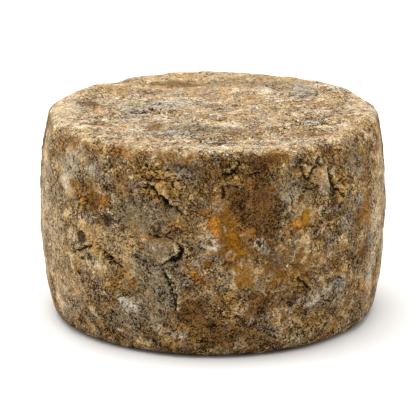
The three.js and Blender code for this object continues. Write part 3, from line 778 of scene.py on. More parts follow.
    def laid_on(
        self, points: np.ndarray, normals: np.ndarray, faces: list[tuple[int, ...]], solid: bpy.types.Mesh
    ) -> np.ndarray:
        """Moves the blank's points onto the solid, without its facets and without its open cracks.

        Args:
            points: the blank's points.
            normals: the way each may move.
            faces: the blank's faces.
            solid: the solid's mesh.

        Returns:
            The moved points.
        """
        tree = BVHTree.FromPolygons([v.co for v in solid.vertices], [p.vertices for p in solid.polygons])
        offsets = np.zeros(len(points))
        for i, (point, normal) in enumerate(zip(points, normals)):
            start = Vector(point + self.probe * normal)
            reached = tree.ray_cast(start, Vector(-normal), 3 * self.probe)[3]
            offsets[i] = self.probe - reached if reached is not None else 0.0
        pairs = {tuple(sorted((a, b))) for face in faces for a, b in zip(face, face[1:] + face[:1])}
        one, other = np.array(sorted(pairs)).T
        count = np.bincount(one, minlength=len(points)) + np.bincount(other, minlength=len(points))

        def evened(values: np.ndarray, rounds: int) -> np.ndarray:
            """Averages each value with its neighbours', that many times.

            Args:
                values: one value for each point.
                rounds: how many times.

            Returns:
                The evened values.
            """
            for _ in range(rounds):
                around = np.bincount(one, values[other], len(points))
                around += np.bincount(other, values[one], len(points))
                values = 0.5 * values + 0.5 * around / count
            return values

        broad = evened(offsets, self.broad_rounds)
        closed = np.clip(offsets, broad - self.deepest, broad + self.highest)
        moved = points + normals * evened(closed, self.facet_rounds)[:, None]
        # The base never goes below the shelf.
        moved[:, 2] = np.where(normals[:, 2] < -0.999, np.maximum(moved[:, 2], 0.0), moved[:, 2])
        return moved


@dataclass
class RindMap:
    """Where each mark and crack lies on the blank, as one number a point for each kind.

    All its lengths are in millimetres. Points nearer the middle than side_from aren't on the side, and those
    nearer than rim_from count as that much higher at the rim, or lower at the foot.
    """

    places: np.ndarray
    side_radius: float = 98.0
    side_from: float = 78.0
    rim_from: float = 90.0
    half_height: float = 60.0
    top_from: float = 112.0
    base_to: float = 6.0
    ripples: tuple[Pair, ...] = ((15.0, 3.6), (5.5, 2.2), (2.3, 1.1))
    ripple_seed: int = 3
    small_mark: float = 5.0
    # In shares of a mark's size: how far it counts, its ring's place and width, and where its edge fades.
    mark_reach: float = 1.5
    ring_reach: float = 0.8
    ring_width: float = 0.2
    soft_edge: Pair = (0.3, 1.4)
    strongest: float = 1.25
    # A crack's line: its steps, how far it drifts and jitters at each, and how unevenly wide it is.
    crack_seed: int = 7
    crack_step: float = 0.9
    drift_stride: float = 0.5
    drift_share: float = 0.45
    jitter: float = 0.42
    uneven_width: Pair = (0.5, 1.4)
    # Beside its line: where its walls go down, where its lips rise, and where the painted shade in it fades.
    crack_reach: float = 8.0
    no_crack: float = 9.0
    open_width: float = 0.5
    wall: Pair = (-0.2, 0.9)
    lip_reach: float = 1.5
    lip_width: float = 1.2
    low_lip: float = 0.4
    dark_from: float = 0.9
    dark_fade: float = 1.5

    def rippled(self, ripples: tuple[Pair, ...]) -> np.ndarray:
        """Shifts every place by soft ripples, which gives the marks ragged outlines.

        Args:
            ripples: the size and the strength of each.

        Returns:
            The shifted places.
        """
        noise.seed_set(self.ripple_seed)
        steady = self.places / MM
        shifted = steady.copy()
        for size, strength in ripples:
            shifted += strength * np.array([noise.noise_vector(Vector(p)) for p in steady / size + size])
        return shifted

    def on_face(self, face: Face, spots: np.ndarray) -> tuple[np.ndarray, np.ndarray]:
        """Works out where each point is on a face.

        Args:
            face: the face.
            spots: the points' places, rippled or not.

        Returns:
            Each point's place across and up the face, far off for points that aren't on it.
        """
        x, y, z = spots.T
        steady = self.places / MM
        if face is Face.SIDE:
            reach = np.hypot(steady[:, 0], steady[:, 1])
            off = reach < self.side_from
            across = self.side_radius * np.arctan2(x, -y)
            up = z + np.sign(z - self.half_height) * np.maximum(self.rim_from - reach, 0)
        else:
            off = steady[:, 2] < self.top_from if face is Face.TOP else steady[:, 2] > self.base_to
            across, up = x, y
        return np.where(off, FAR_OFF, across), np.where(off, FAR_OFF, up)

    def around(self, across: np.ndarray, middle: float, face: Face) -> np.ndarray:
        """Measures across from a middle, the short way round on the side.

        Args:
            across: each point's place across.
            middle: the middle's place: degrees on the side, millimetres elsewhere.
            face: the face.

        Returns:
            The distances across.
        """
        if face is not Face.SIDE:
            return across - middle
        whole = 2 * math.pi * self.side_radius
        gap = across - math.radians(middle) * self.side_radius
        return np.where(across > FAR_OFF / 2, FAR_OFF, (gap + whole / 2) % whole - whole / 2)

    def growth(self, marks: list[Mark]) -> dict[str, np.ndarray]:
        """Adds up the marks of each kind.

        Small marks aren't shifted by the broadest ripples, and rings are only shifted by the finest.

        Args:
            marks: all the marks.

        Returns:
            For each kind, how strong it is at each point.
        """
        total = {bloom.value: np.zeros(len(self.places), np.float32) for bloom in Bloom}
        spots = [self.rippled(self.ripples[first:]) for first in range(3)]
        fields = {(face, first): self.on_face(face, spots[first]) for face in Face for first in range(3)}
        for mark in marks:
            first = 2 if mark.ring else int(min(mark.width, mark.tall) < self.small_mark)
            across, up = fields[mark.face, first]
            a, b = self.around(across, mark.across, mark.face), up - mark.up
            reach = self.mark_reach * max(mark.width, mark.tall)
            near = (np.abs(a) < reach) & (np.abs(b) < reach)
            cos, sin = math.cos(math.radians(mark.tilt)), math.sin(math.radians(mark.tilt))
            along, over = (a * cos + b * sin)[near] / mark.width, (b * cos - a * sin)[near] / mark.tall
            far = np.hypot(along, over)
            if mark.ring:
                shape = np.exp(-(((far - self.ring_reach) / self.ring_width) ** 2))
            else:
                shape = 1 - smooth_step(far, *self.soft_edge)
            total[mark.bloom.value][near] += (mark.strength * shape).astype(np.float32)
        return {name: np.clip(values, -self.strongest, self.strongest) for name, values in total.items()}

    def course(self, crack: Crack, rng: np.random.Generator) -> np.ndarray:
        """Draws a crack's wandering line.

        Args:
            crack: the crack.
            rng: the seeded source of chance.

        Returns:
            Its points about a millimetre apart: the place across and up, and half the width there.
        """
        across = self.side_radius * math.pi / 180 if crack.face is Face.SIDE else 1.0
        corners = np.array(crack.course, float) * (across, 1.0, 1.0)
        way = np.concatenate([[0.0], np.cumsum(np.hypot(*np.diff(corners[:, :2], axis=0).T))])
        steps = np.linspace(0, way[-1], max(4, int(way[-1] / self.crack_step)))
        line = np.stack([np.interp(steps, way, corners[:, k]) for k in range(3)], -1)
        drift = np.cumsum(rng.normal(0, self.drift_stride, (len(steps), 2)), axis=0)
        drift -= np.linspace(0, 1, len(steps))[:, None] * drift[-1]
        jitter = rng.normal(0, self.jitter, (len(steps), 2))
        line[:, :2] += crack.wander * (self.drift_share * drift + jitter)
        line[:, 2] *= rng.uniform(*self.uneven_width, len(steps))
        return line

    @staticmethod
    def beside(line: np.ndarray, spot: np.ndarray) -> tuple[np.ndarray, np.ndarray, np.ndarray]:
        """Measures points beside a crack's line.

        Args:
            line: the crack's line.
            spot: the points' places across and up.

        Returns:
            Each point's distance to the line, 1 for its left or -1 for its right, and half its width there.
        """
        best, sign, wide = np.full(len(spot), FAR_OFF), np.ones(len(spot)), np.zeros(len(spot))
        for i, (start, end) in enumerate(zip(line, line[1:])):
            run, to = (end - start)[:2], spot - start[:2]
            length = math.hypot(*run)
            way = to @ run / max(length, 1e-6)
            share = np.clip(way / max(length, 1e-6), 0, 1)
            gap = np.hypot(*(to - share[:, None] * run).T)
            beyond = np.maximum(-way, 0) if i == 0 else np.maximum(way - length, 0) * (i == len(line) - 2)
            half = start[2] + share * (end[2] - start[2]) - beyond
            closer = gap < best
            best, wide = np.where(closer, gap, best), np.where(closer, half, wide)
            sign = np.where(closer, np.where(run[0] * to[:, 1] - run[1] * to[:, 0] >= 0, 1.0, -1.0), sign)
        return best, sign, wide

    def cracks(self, cracks: tuple[Crack, ...]) -> dict[str, np.ndarray]:
        """Measures each point's place beside its nearest crack.

        Args:
            cracks: all the cracks.

        Returns:
            The signed distance to the crack's middle, half its width, its depth and its lip's rise.
        """
        count = len(self.places)
        nearest, side, gape = (np.full(count, far) for far in (self.no_crack, self.no_crack, -self.no_crack))
        depth, lip = np.zeros(count), np.zeros(count)
        rng = np.random.default_rng(self.crack_seed)
        fields = {face: self.on_face(face, self.places / MM) for face in Face}
        for crack in cracks:
            line = self.course(crack, rng)
            across, up = fields[crack.face]
            middle = line[:, :2].mean(0)
            a = across - middle[0]
            if crack.face is Face.SIDE:
                a = self.around(across, math.degrees(middle[0] / self.side_radius), crack.face)
            reach = self.crack_reach + np.abs(line[:, :2] - middle).max()
            near = np.flatnonzero((np.abs(a) < reach) & (np.abs(up - middle[1]) < reach))
            best, sign, wide = self.beside(line, np.stack([a[near] + middle[0], up[near]], -1))
            strong = np.clip(wide / self.open_width, 0, 1)
            raised = np.exp(-(((best - wide - self.lip_reach) / self.lip_width) ** 2))
            raised *= np.where(sign > 0, 1.0, self.low_lip)
            lip[near] = np.maximum(lip[near], crack.lift * strong * raised)
            cut = 1 - smooth_step(best - wide, *self.wall)
            depth[near] = np.maximum(depth[near], crack.depth * strong * cut)
            nearer = best < nearest[near]
            at = near[nearer]
            nearest[at], side[at] = best[nearer], (best * sign)[nearer]
            gape[at] = (wide - self.dark_fade * np.maximum(best - self.dark_from, 0))[nearer]
        return {"crack": side, "gape": gape, "gash": depth, "lip": lip}

    def write(self, mesh: bpy.types.Mesh, values: dict[str, np.ndarray]) -> None:
        """Writes the numbers on the blank's points.

        Args:
            mesh: the blank's mesh.
            values: for each name, one number a point.
        """
        for name, numbers in values.items():
            mesh.attributes.new(name, "FLOAT", "POINT").data.foreach_set("value", numbers.astype(np.float32))


@dataclass(frozen=True)
class Grain:
    """One uneven pattern: its patches' spacing in millimetres, how rough and twisted it is, and its kind."""

    size: float
    detail: float = 2.0
    rough: float = 0.55
    twist: float = 0.0
    turn: float = 0.0
    swirled: bool = False
    creased: bool = False

    def spread_on(self, tree: bpy.types.NodeTree, place: Source, scale: Source) -> bpy.types.Node:
        """Adds the pattern to a tree. A creased one is 0 along its creases.

        Args:
            tree: the shader or geometry tree.
            place: the place that it reads.
            scale: how many patches there are to a unit of length.

        Returns:
            The pattern's last node.
        """
        shape = {"Detail": self.detail, "Roughness": self.rough, "Distortion": self.twist}
        where = {"Vector": place, "W": self.turn, "Scale": scale}
        pattern = add_node(tree, "ShaderNodeTexNoise", {"noise_dimensions": "4D"}, where | shape)
        if self.creased:
            centred = add_node(tree, "ShaderNodeMath", MINUS, {0: pattern, 1: 0.5})
            pattern = add_node(tree, "ShaderNodeMath", UNSIGNED, {0: centred})
        return pattern


FLAKES = Grain(6.0, 2.5, 0.6, 1.2, 21.0, creased=True)
FOLDS = Grain(8.0, 2.5, 0.6, 0.8, 15.0, creased=True)


@dataclass(frozen=True)
class Layer:
    """One layer of the relief.

    Where its pattern goes from low to high, the crust goes from bottom to peak, in shares of its height.
    It lies as thickly as its mark, times gain, plus least.
    """

    name: str
    grain: Grain
    low: float
    high: float
    bottom: float
    peak: float
    height: float
    mark: str
    gain: float
    least: float


@dataclass
class RindRelief:
    """The raised crust: hummocks, crumbs and pits all over, flaking crags, and cracks with lifted lips."""

    layers: tuple[Layer, ...] = (
        Layer("Hummock", Grain(10.0, 2.0, 0.5, 0.4, 11.0), 0.25, 0.75, -0.5, 0.5, 1.5 * MM, "top", 0.2, 0.25),
        Layer("Fold", FOLDS, 0.0, 0.16, 0.4, -0.6, 1.2 * MM, "crag", 0.7, 0.18),
        Layer("Grit", Grain(2.4, 1.0, 0.5, 0.2, 13.0), 0.25, 0.75, -0.5, 0.5, 1.0 * MM, "crag", 0.8, 0.12),
        Layer("Pit", Grain(4.6, 1.5, 0.5, 0.7, 14.0), 0.58, 0.70, 0.0, -1.0, 0.9 * MM, "top", -0.6, 1.0),
        Layer("Flake", FLAKES, 0.01, 0.085, 0.6, -0.4, 2.6 * MM, "crag", 1.0, 0.05),
    )
    sunk: float = 0.5 * MM
    worn_flat: float = 0.6
    # No point goes below the shelf. The wheel never reaches the other two limits.
    lowest: tuple[float, float, float] = (-9.0, -9.0, 0.0)

    def sizes(self) -> dict[str, float]:
        """Names the tree's inputs, two for each layer.

        Returns:
            The value of each in metres, by its name.
        """
        named = {}
        for layer in self.layers:
            named[layer.name + " Size"] = layer.grain.size * MM
            named[layer.name + " Height"] = layer.height
        return named

    def tree(self, material: bpy.types.Material) -> bpy.types.NodeTree:
        """Builds the tree that raises the crust.

        Args:
            material: what the finished crust is dressed in.

        Returns:
            The geometry tree.
        """
        tree = bpy.data.node_groups.new("rind_relief", "GeometryNodeTree")
        add = partial(add_node, tree)
        tree.interface.new_socket("Geometry", in_out="INPUT", socket_type="NodeSocketGeometry")
        for name in self.sizes():
            tree.interface.new_socket(name, in_out="INPUT", socket_type="NodeSocketFloat")
        tree.interface.new_socket("Geometry", in_out="OUTPUT", socket_type="NodeSocketGeometry")
        given = add("NodeGroupInput").outputs
        place, normal = add("GeometryNodeInputPosition"), add("GeometryNodeInputNormal")
        marks = {
            name: add("GeometryNodeInputNamedAttribute", {"data_type": "FLOAT"}, {"Name": name})
            for name in ("crag", "bare", "free", "gash", "lip", "top")
        }
        worn = add("ShaderNodeMath", TIMES_PLUS, {0: marks["bare"], 1: -self.worn_flat, 2: 1.0})
        split = add("ShaderNodeMath", MINUS, {0: marks["lip"], 1: marks["gash"]})
        total = add("ShaderNodeMath", TIMES_PLUS, {0: split, 1: MM, 2: -self.sunk})
        for layer in self.layers:
            scale = add("ShaderNodeMath", PER, {0: 1.0, 1: given[layer.name + " Size"]})
            pattern = layer.grain.spread_on(tree, place, scale)
            ends = {1: layer.low, 2: layer.high, 3: layer.bottom, 4: layer.peak}
            shape = add("ShaderNodeMapRange", SMOOTHLY, {0: pattern} | ends)
            share = {0: marks[layer.mark], 1: layer.gain, 2: layer.least}
            spread = add("ShaderNodeMath", TIMES_PLUS_HELD, share)
            left = add("ShaderNodeMath", TIMES, {0: spread, 1: worn})
            raised = add("ShaderNodeMath", TIMES, {0: shape, 1: given[layer.name + " Height"]})
            total = add("ShaderNodeMath", TIMES_PLUS, {0: raised, 1: left, 2: total})
        lifted = add("ShaderNodeMath", TIMES, {0: total, 1: marks["free"]})
        relief = add("ShaderNodeMath", PER, {0: lifted, 1: MM})
        push = add("ShaderNodeVectorMath", {"operation": "SCALE"}, {0: normal, "Scale": lifted})

        shape = given["Geometry"]
        for name, data_type, value in (("rest", "FLOAT_VECTOR", place), ("relief", "FLOAT", relief)):
            settings = {"data_type": data_type, "domain": "POINT"}
            inputs = {"Geometry": shape, "Name": name, "Value": value}
            shape = add("GeometryNodeStoreNamedAttribute", settings, inputs)
        moved = add("GeometryNodeSetPosition", None, {"Geometry": shape, "Offset": push})
        after = add("GeometryNodeInputPosition")
        ground = add("ShaderNodeVectorMath", {"operation": "MAXIMUM"}, {0: after, 1: self.lowest})
        stood = add("GeometryNodeSetPosition", None, {"Geometry": moved, "Position": ground})
        realised = add("GeometryNodeRealizeInstances", None, {"Geometry": stood})
        dressed = add("GeometryNodeSetMaterial", None, {"Geometry": realised, "Material": material})
        add("NodeGroupOutput", None, {"Geometry": dressed})
        return tree

    def raise_crust(self, blank: bpy.types.Object, material: bpy.types.Material) -> bpy.types.Object:
        """Raises the crust on the blank.

        Args:
            blank: the blank, with its marks written on it.
            material: what the crust is dressed in.

        Returns:
            The crust as a plain mesh of its own.
        """
        tree = self.tree(material)
        modifier = blank.modifiers.new("relief", "NODES")
        modifier.node_group = tree
        sizes = self.sizes()
        for item in tree.interface.items_tree:
            if item.in_out == "INPUT" and item.name in sizes:
                modifier[item.identifier] = sizes[item.name]
        depsgraph = bpy.context.evaluated_depsgraph_get()
        mesh = bpy.data.meshes.new_from_object(
            blank.evaluated_get(depsgraph), preserve_all_data_layers=True, depsgraph=depsgraph
        )
        blank.modifiers.remove(modifier)
        bpy.data.objects.remove(blank)
        mesh.name = "rind"
        rind = bpy.data.objects.new("rind", mesh)
        bpy.context.scene.collection.objects.link(rind)
        return rind


@dataclass(frozen=True)
class Coat:
    """One coat of colour: it lies where its pattern passes from low to high.

    A growth's strength is added to the pattern, broken up by that much. Where broken is 0, it thins the coat.
    """

    colour: str
    grain: str
    low: float
    high: float
    cover: float = 1.0
    growth: str = ""
    broken: float = 0.0


@dataclass(frozen=True)
class NaturalRind:
    """Dry natural cheese rind, brushed and turned for a year: dusty, matt, granular and blotched with moulds.

    The eye gets a dull, crumbly brown crust, with painted shade in its pits and cracks and soft blooms lying
    over it.
    """

    dry_crust: str = "#86683F"
    # Real spacings in millimetres. Mould dust is finer than 0.1 mm, and is drawn at 0.7 mm so that it shows.
    grains: tuple[tuple[str, Grain], ...] = (
        ("district", Grain(38, 2, 0.5, 0.3, 1.0, True)),
        ("zone", Grain(10, 2, 0.55, 0.3, 1.5, True)),
        ("patch", Grain(14, 5, 0.6, 0.5, 2.0, True)),
        ("blotch", Grain(8, 4, 0.65, 0.5, 3.0, True)),
        ("stain", Grain(11, 3, 0.6, 0.5, 3.5, True)),
        ("mottle", Grain(5.0, 3, 0.65, 0.4, 4.0, True)),
        ("tinge", Grain(7.0, 2, 0.55, 0.4, 4.5, True)),
        ("edge", Grain(4.0, 3, 0.65, 0.6, 5.0, True)),
        ("crumb", Grain(2.8, 2, 0.65, 0.8, 6.0, True)),
        ("grain", Grain(1.5, 1, 0.6, 0.6, 7.0, True)),
        ("dust", Grain(0.7, 0, 0.5, 0.0, 8.0)),
        ("fleck", Grain(2.3, 1, 0.6, 0.8, 9.0)),
        ("speck", Grain(1.5, 1.5, 0.6, 0.5, 10.0)),
        ("crackle", Grain(3.6, 2, 0.6, 0.8, 16.0, creased=True)),
        ("craze", Grain(9.0, 2, 0.6, 1.5, 17.0, True, True)),
        ("folds", FOLDS),
        ("flakes", FLAKES),
    )
    swirls: tuple[Pair, ...] = ((9.0, 6.0), (2.6, 1.8))
    # The ground's own unevenness, then the growths in the order in which they lie over each other.
    coats: tuple[Coat, ...] = (
        Coat("#684927", "district", 0.42, 0.62, 0.6),
        Coat("#87765B", "patch", 0.50, 0.60, 0.75),
        Coat("#A07433", "stain", 0.51, 0.62, 0.6),
        Coat("#A07136", "tinge", 0.54, 0.62, 0.45),
        Coat("#8A8070", "tinge", 0.45, 0.38, 0.45),
        Coat("#CBAB78", "blotch", 0.50, 0.62, 0.7),
        Coat("#4A3620", "mottle", 0.56, 0.70, 0.6),
        # The top's coats. The pale ones are partly a dusting of mould and partly painted light, making the
        # top paler where the overhead lamp falls.
        Coat("#B89D78", "edge", 0.35, 1.10, 0.7, "top", 1.6),
        Coat("#B8945A", "district", 0.48, 0.60, 0.4, "top"),
        Coat("#80643E", "patch", 0.54, 0.62, 0.45, "top"),
        Coat("#988F80", "stain", 0.50, 0.60, 0.45, "top"),
        Coat("#BE8A48", "tinge", 0.55, 0.64, 0.45, "top"),
        Coat("#DCC8A6", "blotch", 0.52, 0.62, 0.45, "top"),
        Coat("#AE8C5A", "edge", 0.30, 0.90, 0.8, "tan", 2.0),
        Coat("#7E6C4E", "edge", 0.30, 0.90, 0.8, "taupe", 2.0),
        Coat("#6C4619", "mottle", 0.30, 0.90, 0.85, "umber", 2.2),
        Coat("#BAA27E", "edge", 0.45, 1.10, 0.75, "bare", 2.2),
        Coat("#BE8C46", "edge", 0.20, 0.90, 0.85, "crag", 1.2),
        Coat("#754C11", "edge", 0.25, 0.80, 0.95, "ochre", 2.4),
        Coat("#8E602C", "edge", 0.35, 0.80, 0.95, "rust", 2.6),
        Coat("#9A6712", "edge", 0.80, 1.30, 0.85, "ochre", 1.8),
        Coat("#B4721A", "edge", 0.98, 1.35, 0.85, "rust", 1.8),
        Coat("#958B78", "edge", 0.35, 0.90, 0.8, "slate", 2.6),
        Coat("#A6967A", "edge", 0.35, 1.00, 0.4, "chalk", 1.8),
        # A thin pale coat on the top, also partly painted light.
        Coat("#CBB592", "edge", 0.35, 1.10, 0.12, "top", 1.6),
        # Pale lips on the cracks: a painted highlight where they are lifted.
        Coat("#C4AA80", "edge", 0.28, 1.05, 0.7, "lip", 1.0),
        Coat("#3A2814", "edge", 0.20, 0.70, 0.9, "soot", 1.5),
    )
    # Light and shade in the fine patterns: strength on the side and on the top, then the middle and reach.
    fine: tuple[tuple[str, float, float, float, float], ...] = (
        ("patch", 0.20, 0.24, 0.52, 0.04),
        ("blotch", 0.26, 0.24, 0.48, 0.04),
        ("mottle", 0.34, 0.34, 0.5, 0.04),
        ("crumb", 0.62, 0.54, 0.46, 0.05),
        ("grain", 0.82, 0.68, 0.45, 0.07),
        ("dust", 1.8, 1.2, 0.5, 0.16),
        ("folds", -0.34, -0.24, 0.07, 0.07),
        ("crackle", -0.22, -0.20, 0.07, 0.07),
    )
    relief_shade: float = 0.5
    foot_shade: float = 1.2
    lift: float = 0.19
    lightness_lift: float = 0.3
    shade_span: Pair = (-2.2, 0.65)
    tint_shift: tuple[float, float, float] = (0.85, 1.0, 1.3)
    # What lies on all of it: painted highlights on the flakes' ridges, painted shade in the gaps between them
    # and in the pits, the crust's own dark specks and crackle lines, and the chalk's crumbs.
    granules: tuple[Coat, ...] = (
        Coat("#DDB26C", "flakes", 0.060, 0.020, 0.75, "crag"),
        Coat("#2A1C0E", "flakes", 0.095, 0.140, 0.6, "crag"),
        Coat("#24180D", "crackle", 0.150, 0.200, 0.6, "rough"),
        Coat("#24180D", "crackle", 0.020, 0.008, 0.4, "rough"),
        Coat("#160E07", "fleck", 0.62, 0.65, 0.95, "rough"),
        Coat("#160E07", "speck", 0.63, 0.66, 1.0, "rough"),
        Coat("#1C120A", "craze", 0.016, 0.006, 0.85, "rough"),
        Coat("#2E2014", "speck", 0.65, 0.69, 0.85, "top"),
        Coat("#2E2014", "fleck", 0.635, 0.67, 0.75, "top"),
        Coat("#DDD2BA", "grain", 0.46, 0.52, 0.95, "chalk"),
        Coat("#2A2014", "grain", 0.60, 0.66, 0.6, "chalk"),
    )
    bumps: tuple[tuple[str, float], ...] = (
        ("crumb", 3.2),
        ("grain", 2.8),
        ("dust", 0.8),
        ("fleck", -2.0),
        ("crackle", -4.0),
        ("flakes", -4.5),
        ("folds", -3.0),
    )
    # As the zone's pattern goes from 0.4 to 0.6, the crust's grain goes from 0.3 to 1.
    # The top, the ochre and rust blooms and the worn spots are smoother.
    rough_zone: tuple[float, float, float, float] = (0.40, 0.60, 0.3, 1.0)
    top_smoother: float = 0.3
    most_crag: float = 0.3
    bloom_share: float = 0.6
    bloom_smoother: float = 0.4
    bump_least: float = 0.45
    bump_gain: float = 0.8
    shade_least: float = 0.38
    shade_gain: float = 1.3
    # The colour of the painted shade in the cracks.
    crack_shade: str = "#1F150B"
    # A crack's painted shade goes from 0 to 0.9 as the way to its edge, plus its crumbling, goes from 1.75 to
    # 1.3.
    crack_edge: tuple[float, float, float, float] = (1.75, 1.3, 0.0, 0.9)
    crack_crumbling: float = 3.0
    roughness: float = 0.9
    ior: float = 1.45
    gloss: float = 0.15

    def material(self) -> bpy.types.Material:
        """Mixes the rind's colours, crevices and fine grain.

        Returns:
            The material. Its patterns read the place and the marks that the mesh carries.
        """
        material = bpy.data.materials.new("dry_natural_rind")
        material.use_nodes = True
        tree = material.node_tree
        tree.nodes.clear()
        add = partial(add_node, tree)
        marks = {
            name: add("ShaderNodeAttribute", {"attribute_name": name}).outputs["Fac"]
            for name in [bloom.value for bloom in Bloom] + ["crack", "gape", "lip", "relief", "top", "free"]
        }
        pattern = self.patterns(tree)
        zone = add("ShaderNodeMapRange", SMOOTHLY, {0: pattern["zone"]} | dict(enumerate(self.rough_zone, 1)))
        worn = add("ShaderNodeMath", TIMES_PLUS, {0: marks["top"], 1: -self.top_smoother, 2: 1.0})
        lumps = add("ShaderNodeMath", {"operation": "MINIMUM"}, {0: marks["crag"], 1: self.most_crag})
        scabby = add("ShaderNodeMath", TIMES_PLUS, {0: zone, 1: worn, 2: lumps})
        bloomed = add("ShaderNodeMath", PLUS, {0: marks["ochre"], 1: marks["rust"]})
        smooth = add("ShaderNodeMath", TIMES_PLUS, {0: bloomed, 1: self.bloom_share, 2: marks["bare"]})
        rough = {0: smooth, 1: -self.bloom_smoother, 2: scabby}
        marks["rough"] = add("ShaderNodeMath", TIMES_PLUS_HELD, rough)

        height = 0.0
        for name, weight in self.bumps:
            height = add("ShaderNodeMath", TIMES_PLUS, {0: pattern[name], 1: weight, 2: height})
        keen = add("ShaderNodeMath", TIMES_PLUS, {0: marks["rough"], 1: self.bump_gain, 2: self.bump_least})
        height = add("ShaderNodeMath", TIMES, {0: height, 1: keen})
        bump = add("ShaderNodeBump", None, {"Strength": 1.0, "Distance": MM, "Height": height})
        surface = {
            "Base Color": self.colours(tree, pattern, marks),
            "Roughness": self.roughness,
            "IOR": self.ior,
            "Specular IOR Level": self.gloss,
            "Normal": bump,
        }
        shader = add("ShaderNodeBsdfPrincipled", None, surface)
        add("ShaderNodeOutputMaterial", None, {"Surface": shader})
        return material

    def patterns(self, tree: bpy.types.NodeTree) -> dict[str, Source]:
        """Adds every uneven pattern, in millimetres from the wheel's foot.

        Args:
            tree: the shader tree.

        Returns:
            Each pattern by name.
        """
        add = partial(add_node, tree)
        rest = add("ShaderNodeAttribute", {"attribute_name": "rest"}).outputs["Vector"]
        steady = swirled = add("ShaderNodeVectorMath", {"operation": "SCALE"}, {0: rest, "Scale": 1 / MM})
        for size, strength in self.swirls:
            drift = add("ShaderNodeTexNoise", None, {"Vector": steady, "Scale": 1 / size, "Detail": 1.0})
            centred = add("ShaderNodeVectorMath", MINUS, {0: drift.outputs["Color"], 1: (0.5, 0.5, 0.5)})
            swirled = add("ShaderNodeVectorMath", TIMES_PLUS, {0: centred, 1: (strength,) * 3, 2: swirled})
        return {
            name: grain.spread_on(tree, swirled if grain.swirled else steady, 1 / grain.size)
            for name, grain in self.grains
        }

    @staticmethod
    def lay(
        tree: bpy.types.NodeTree,
        under: Source,
        coat: Coat,
        pattern: dict[str, Source],
        marks: dict[str, Source],
    ) -> bpy.types.NodeSocket:
        """Lays one coat over what is there.

        Args:
            tree: the shader tree.
            under: the colour below.
            coat: the coat.
            pattern: the uneven patterns.
            marks: the numbers that the mesh carries.

        Returns:
            The colour.
        """
        add = partial(add_node, tree)
        spread = pattern[coat.grain]
        if coat.growth and coat.broken:
            ragged = add("ShaderNodeMath", TIMES_PLUS, {0: spread, 1: coat.broken, 2: -0.5 * coat.broken})
            spread = add("ShaderNodeMath", PLUS, {0: ragged, 1: marks[coat.growth]})
        ends = {1: coat.low, 2: coat.high, 3: 0.0, 4: coat.cover}
        cover = add("ShaderNodeMapRange", SMOOTHLY, {0: spread} | ends)
        if coat.growth and not coat.broken:
            cover = add("ShaderNodeMath", TIMES_HELD, {0: cover, 1: marks[coat.growth]})
        over = linear_colour(coat.colour)
        return add("ShaderNodeMix", COLOUR_MIX, {0: cover, 6: under, 7: over}).outputs[2]

    def colours(
        self, tree: bpy.types.NodeTree, pattern: dict[str, Source], marks: dict[str, Source]
    ) -> bpy.types.NodeSocket:
        """Lays the coats over each other, then the light and shade of the grain, the granules and the cracks.

        Args:
            tree: the shader tree.
            pattern: the uneven patterns.
            marks: the numbers that the mesh carries.

        Returns:
            The colour.
        """
        add = partial(add_node, tree)
        colour = linear_colour(self.dry_crust)
        for coat in self.coats:
            colour = self.lay(tree, colour, coat, pattern, marks)

        shade = add("ShaderNodeMath", TIMES, {0: marks["relief"], 1: self.relief_shade})
        for name, on_side, on_top, middle, reach in self.fine:
            ends = {1: middle - reach, 2: middle + reach, 3: -0.5, 4: 0.5}
            uneven = add("ShaderNodeMapRange", SMOOTHLY, {0: pattern[name]} | ends)
            weight = add("ShaderNodeMath", TIMES_PLUS, {0: marks["top"], 1: on_top - on_side, 2: on_side})
            shade = add("ShaderNodeMath", TIMES_PLUS, {0: uneven, 1: weight, 2: shade})
        keen = add("ShaderNodeMath", TIMES_PLUS, {0: marks["rough"], 1: self.shade_gain, 2: self.shade_least})
        at_foot = self.lift - self.foot_shade
        foot = add("ShaderNodeMath", TIMES_PLUS, {0: marks["free"], 1: self.foot_shade, 2: at_foot})
        # The lightness marks lighten or darken the crust; those on the wheel's left and right edges are
        # painted sheen.
        lightened = add("ShaderNodeMath", TIMES_PLUS, {0: marks["dusty"], 1: self.lightness_lift, 2: foot})
        shade = add("ShaderNodeMath", TIMES_PLUS, {0: shade, 1: keen, 2: lightened})
        shade = add("ShaderNodeClamp", None, {0: shade} | dict(enumerate(self.shade_span, 1)))
        channels = {}
        for i, strength in enumerate(self.tint_shift):
            power = add("ShaderNodeMath", TIMES, {0: shade, 1: strength})
            channels[i] = add("ShaderNodeMath", {"operation": "EXPONENT"}, {0: power})
        shade = add("ShaderNodeCombineXYZ", None, channels)
        colour = add("ShaderNodeVectorMath", TIMES, {0: colour, 1: shade})

        for coat in self.granules:
            colour = self.lay(tree, colour, coat, pattern, marks)
        # Painted shade in the cracks, darkest along their middles and fading past their edges.
        gap = add("ShaderNodeMath", UNSIGNED, {0: marks["crack"]})
        edge = add("ShaderNodeMath", MINUS, {0: gap, 1: marks["gape"]})
        ragged = add("ShaderNodeMath", TIMES_PLUS, {0: pattern["grain"], 1: self.crack_crumbling, 2: edge})
        split = add("ShaderNodeMapRange", SMOOTHLY, {0: ragged} | dict(enumerate(self.crack_edge, 1)))
        depths = linear_colour(self.crack_shade)
        return add("ShaderNodeMix", COLOUR_MIX, {0: split, 6: colour, 7: depths}).outputs[2]


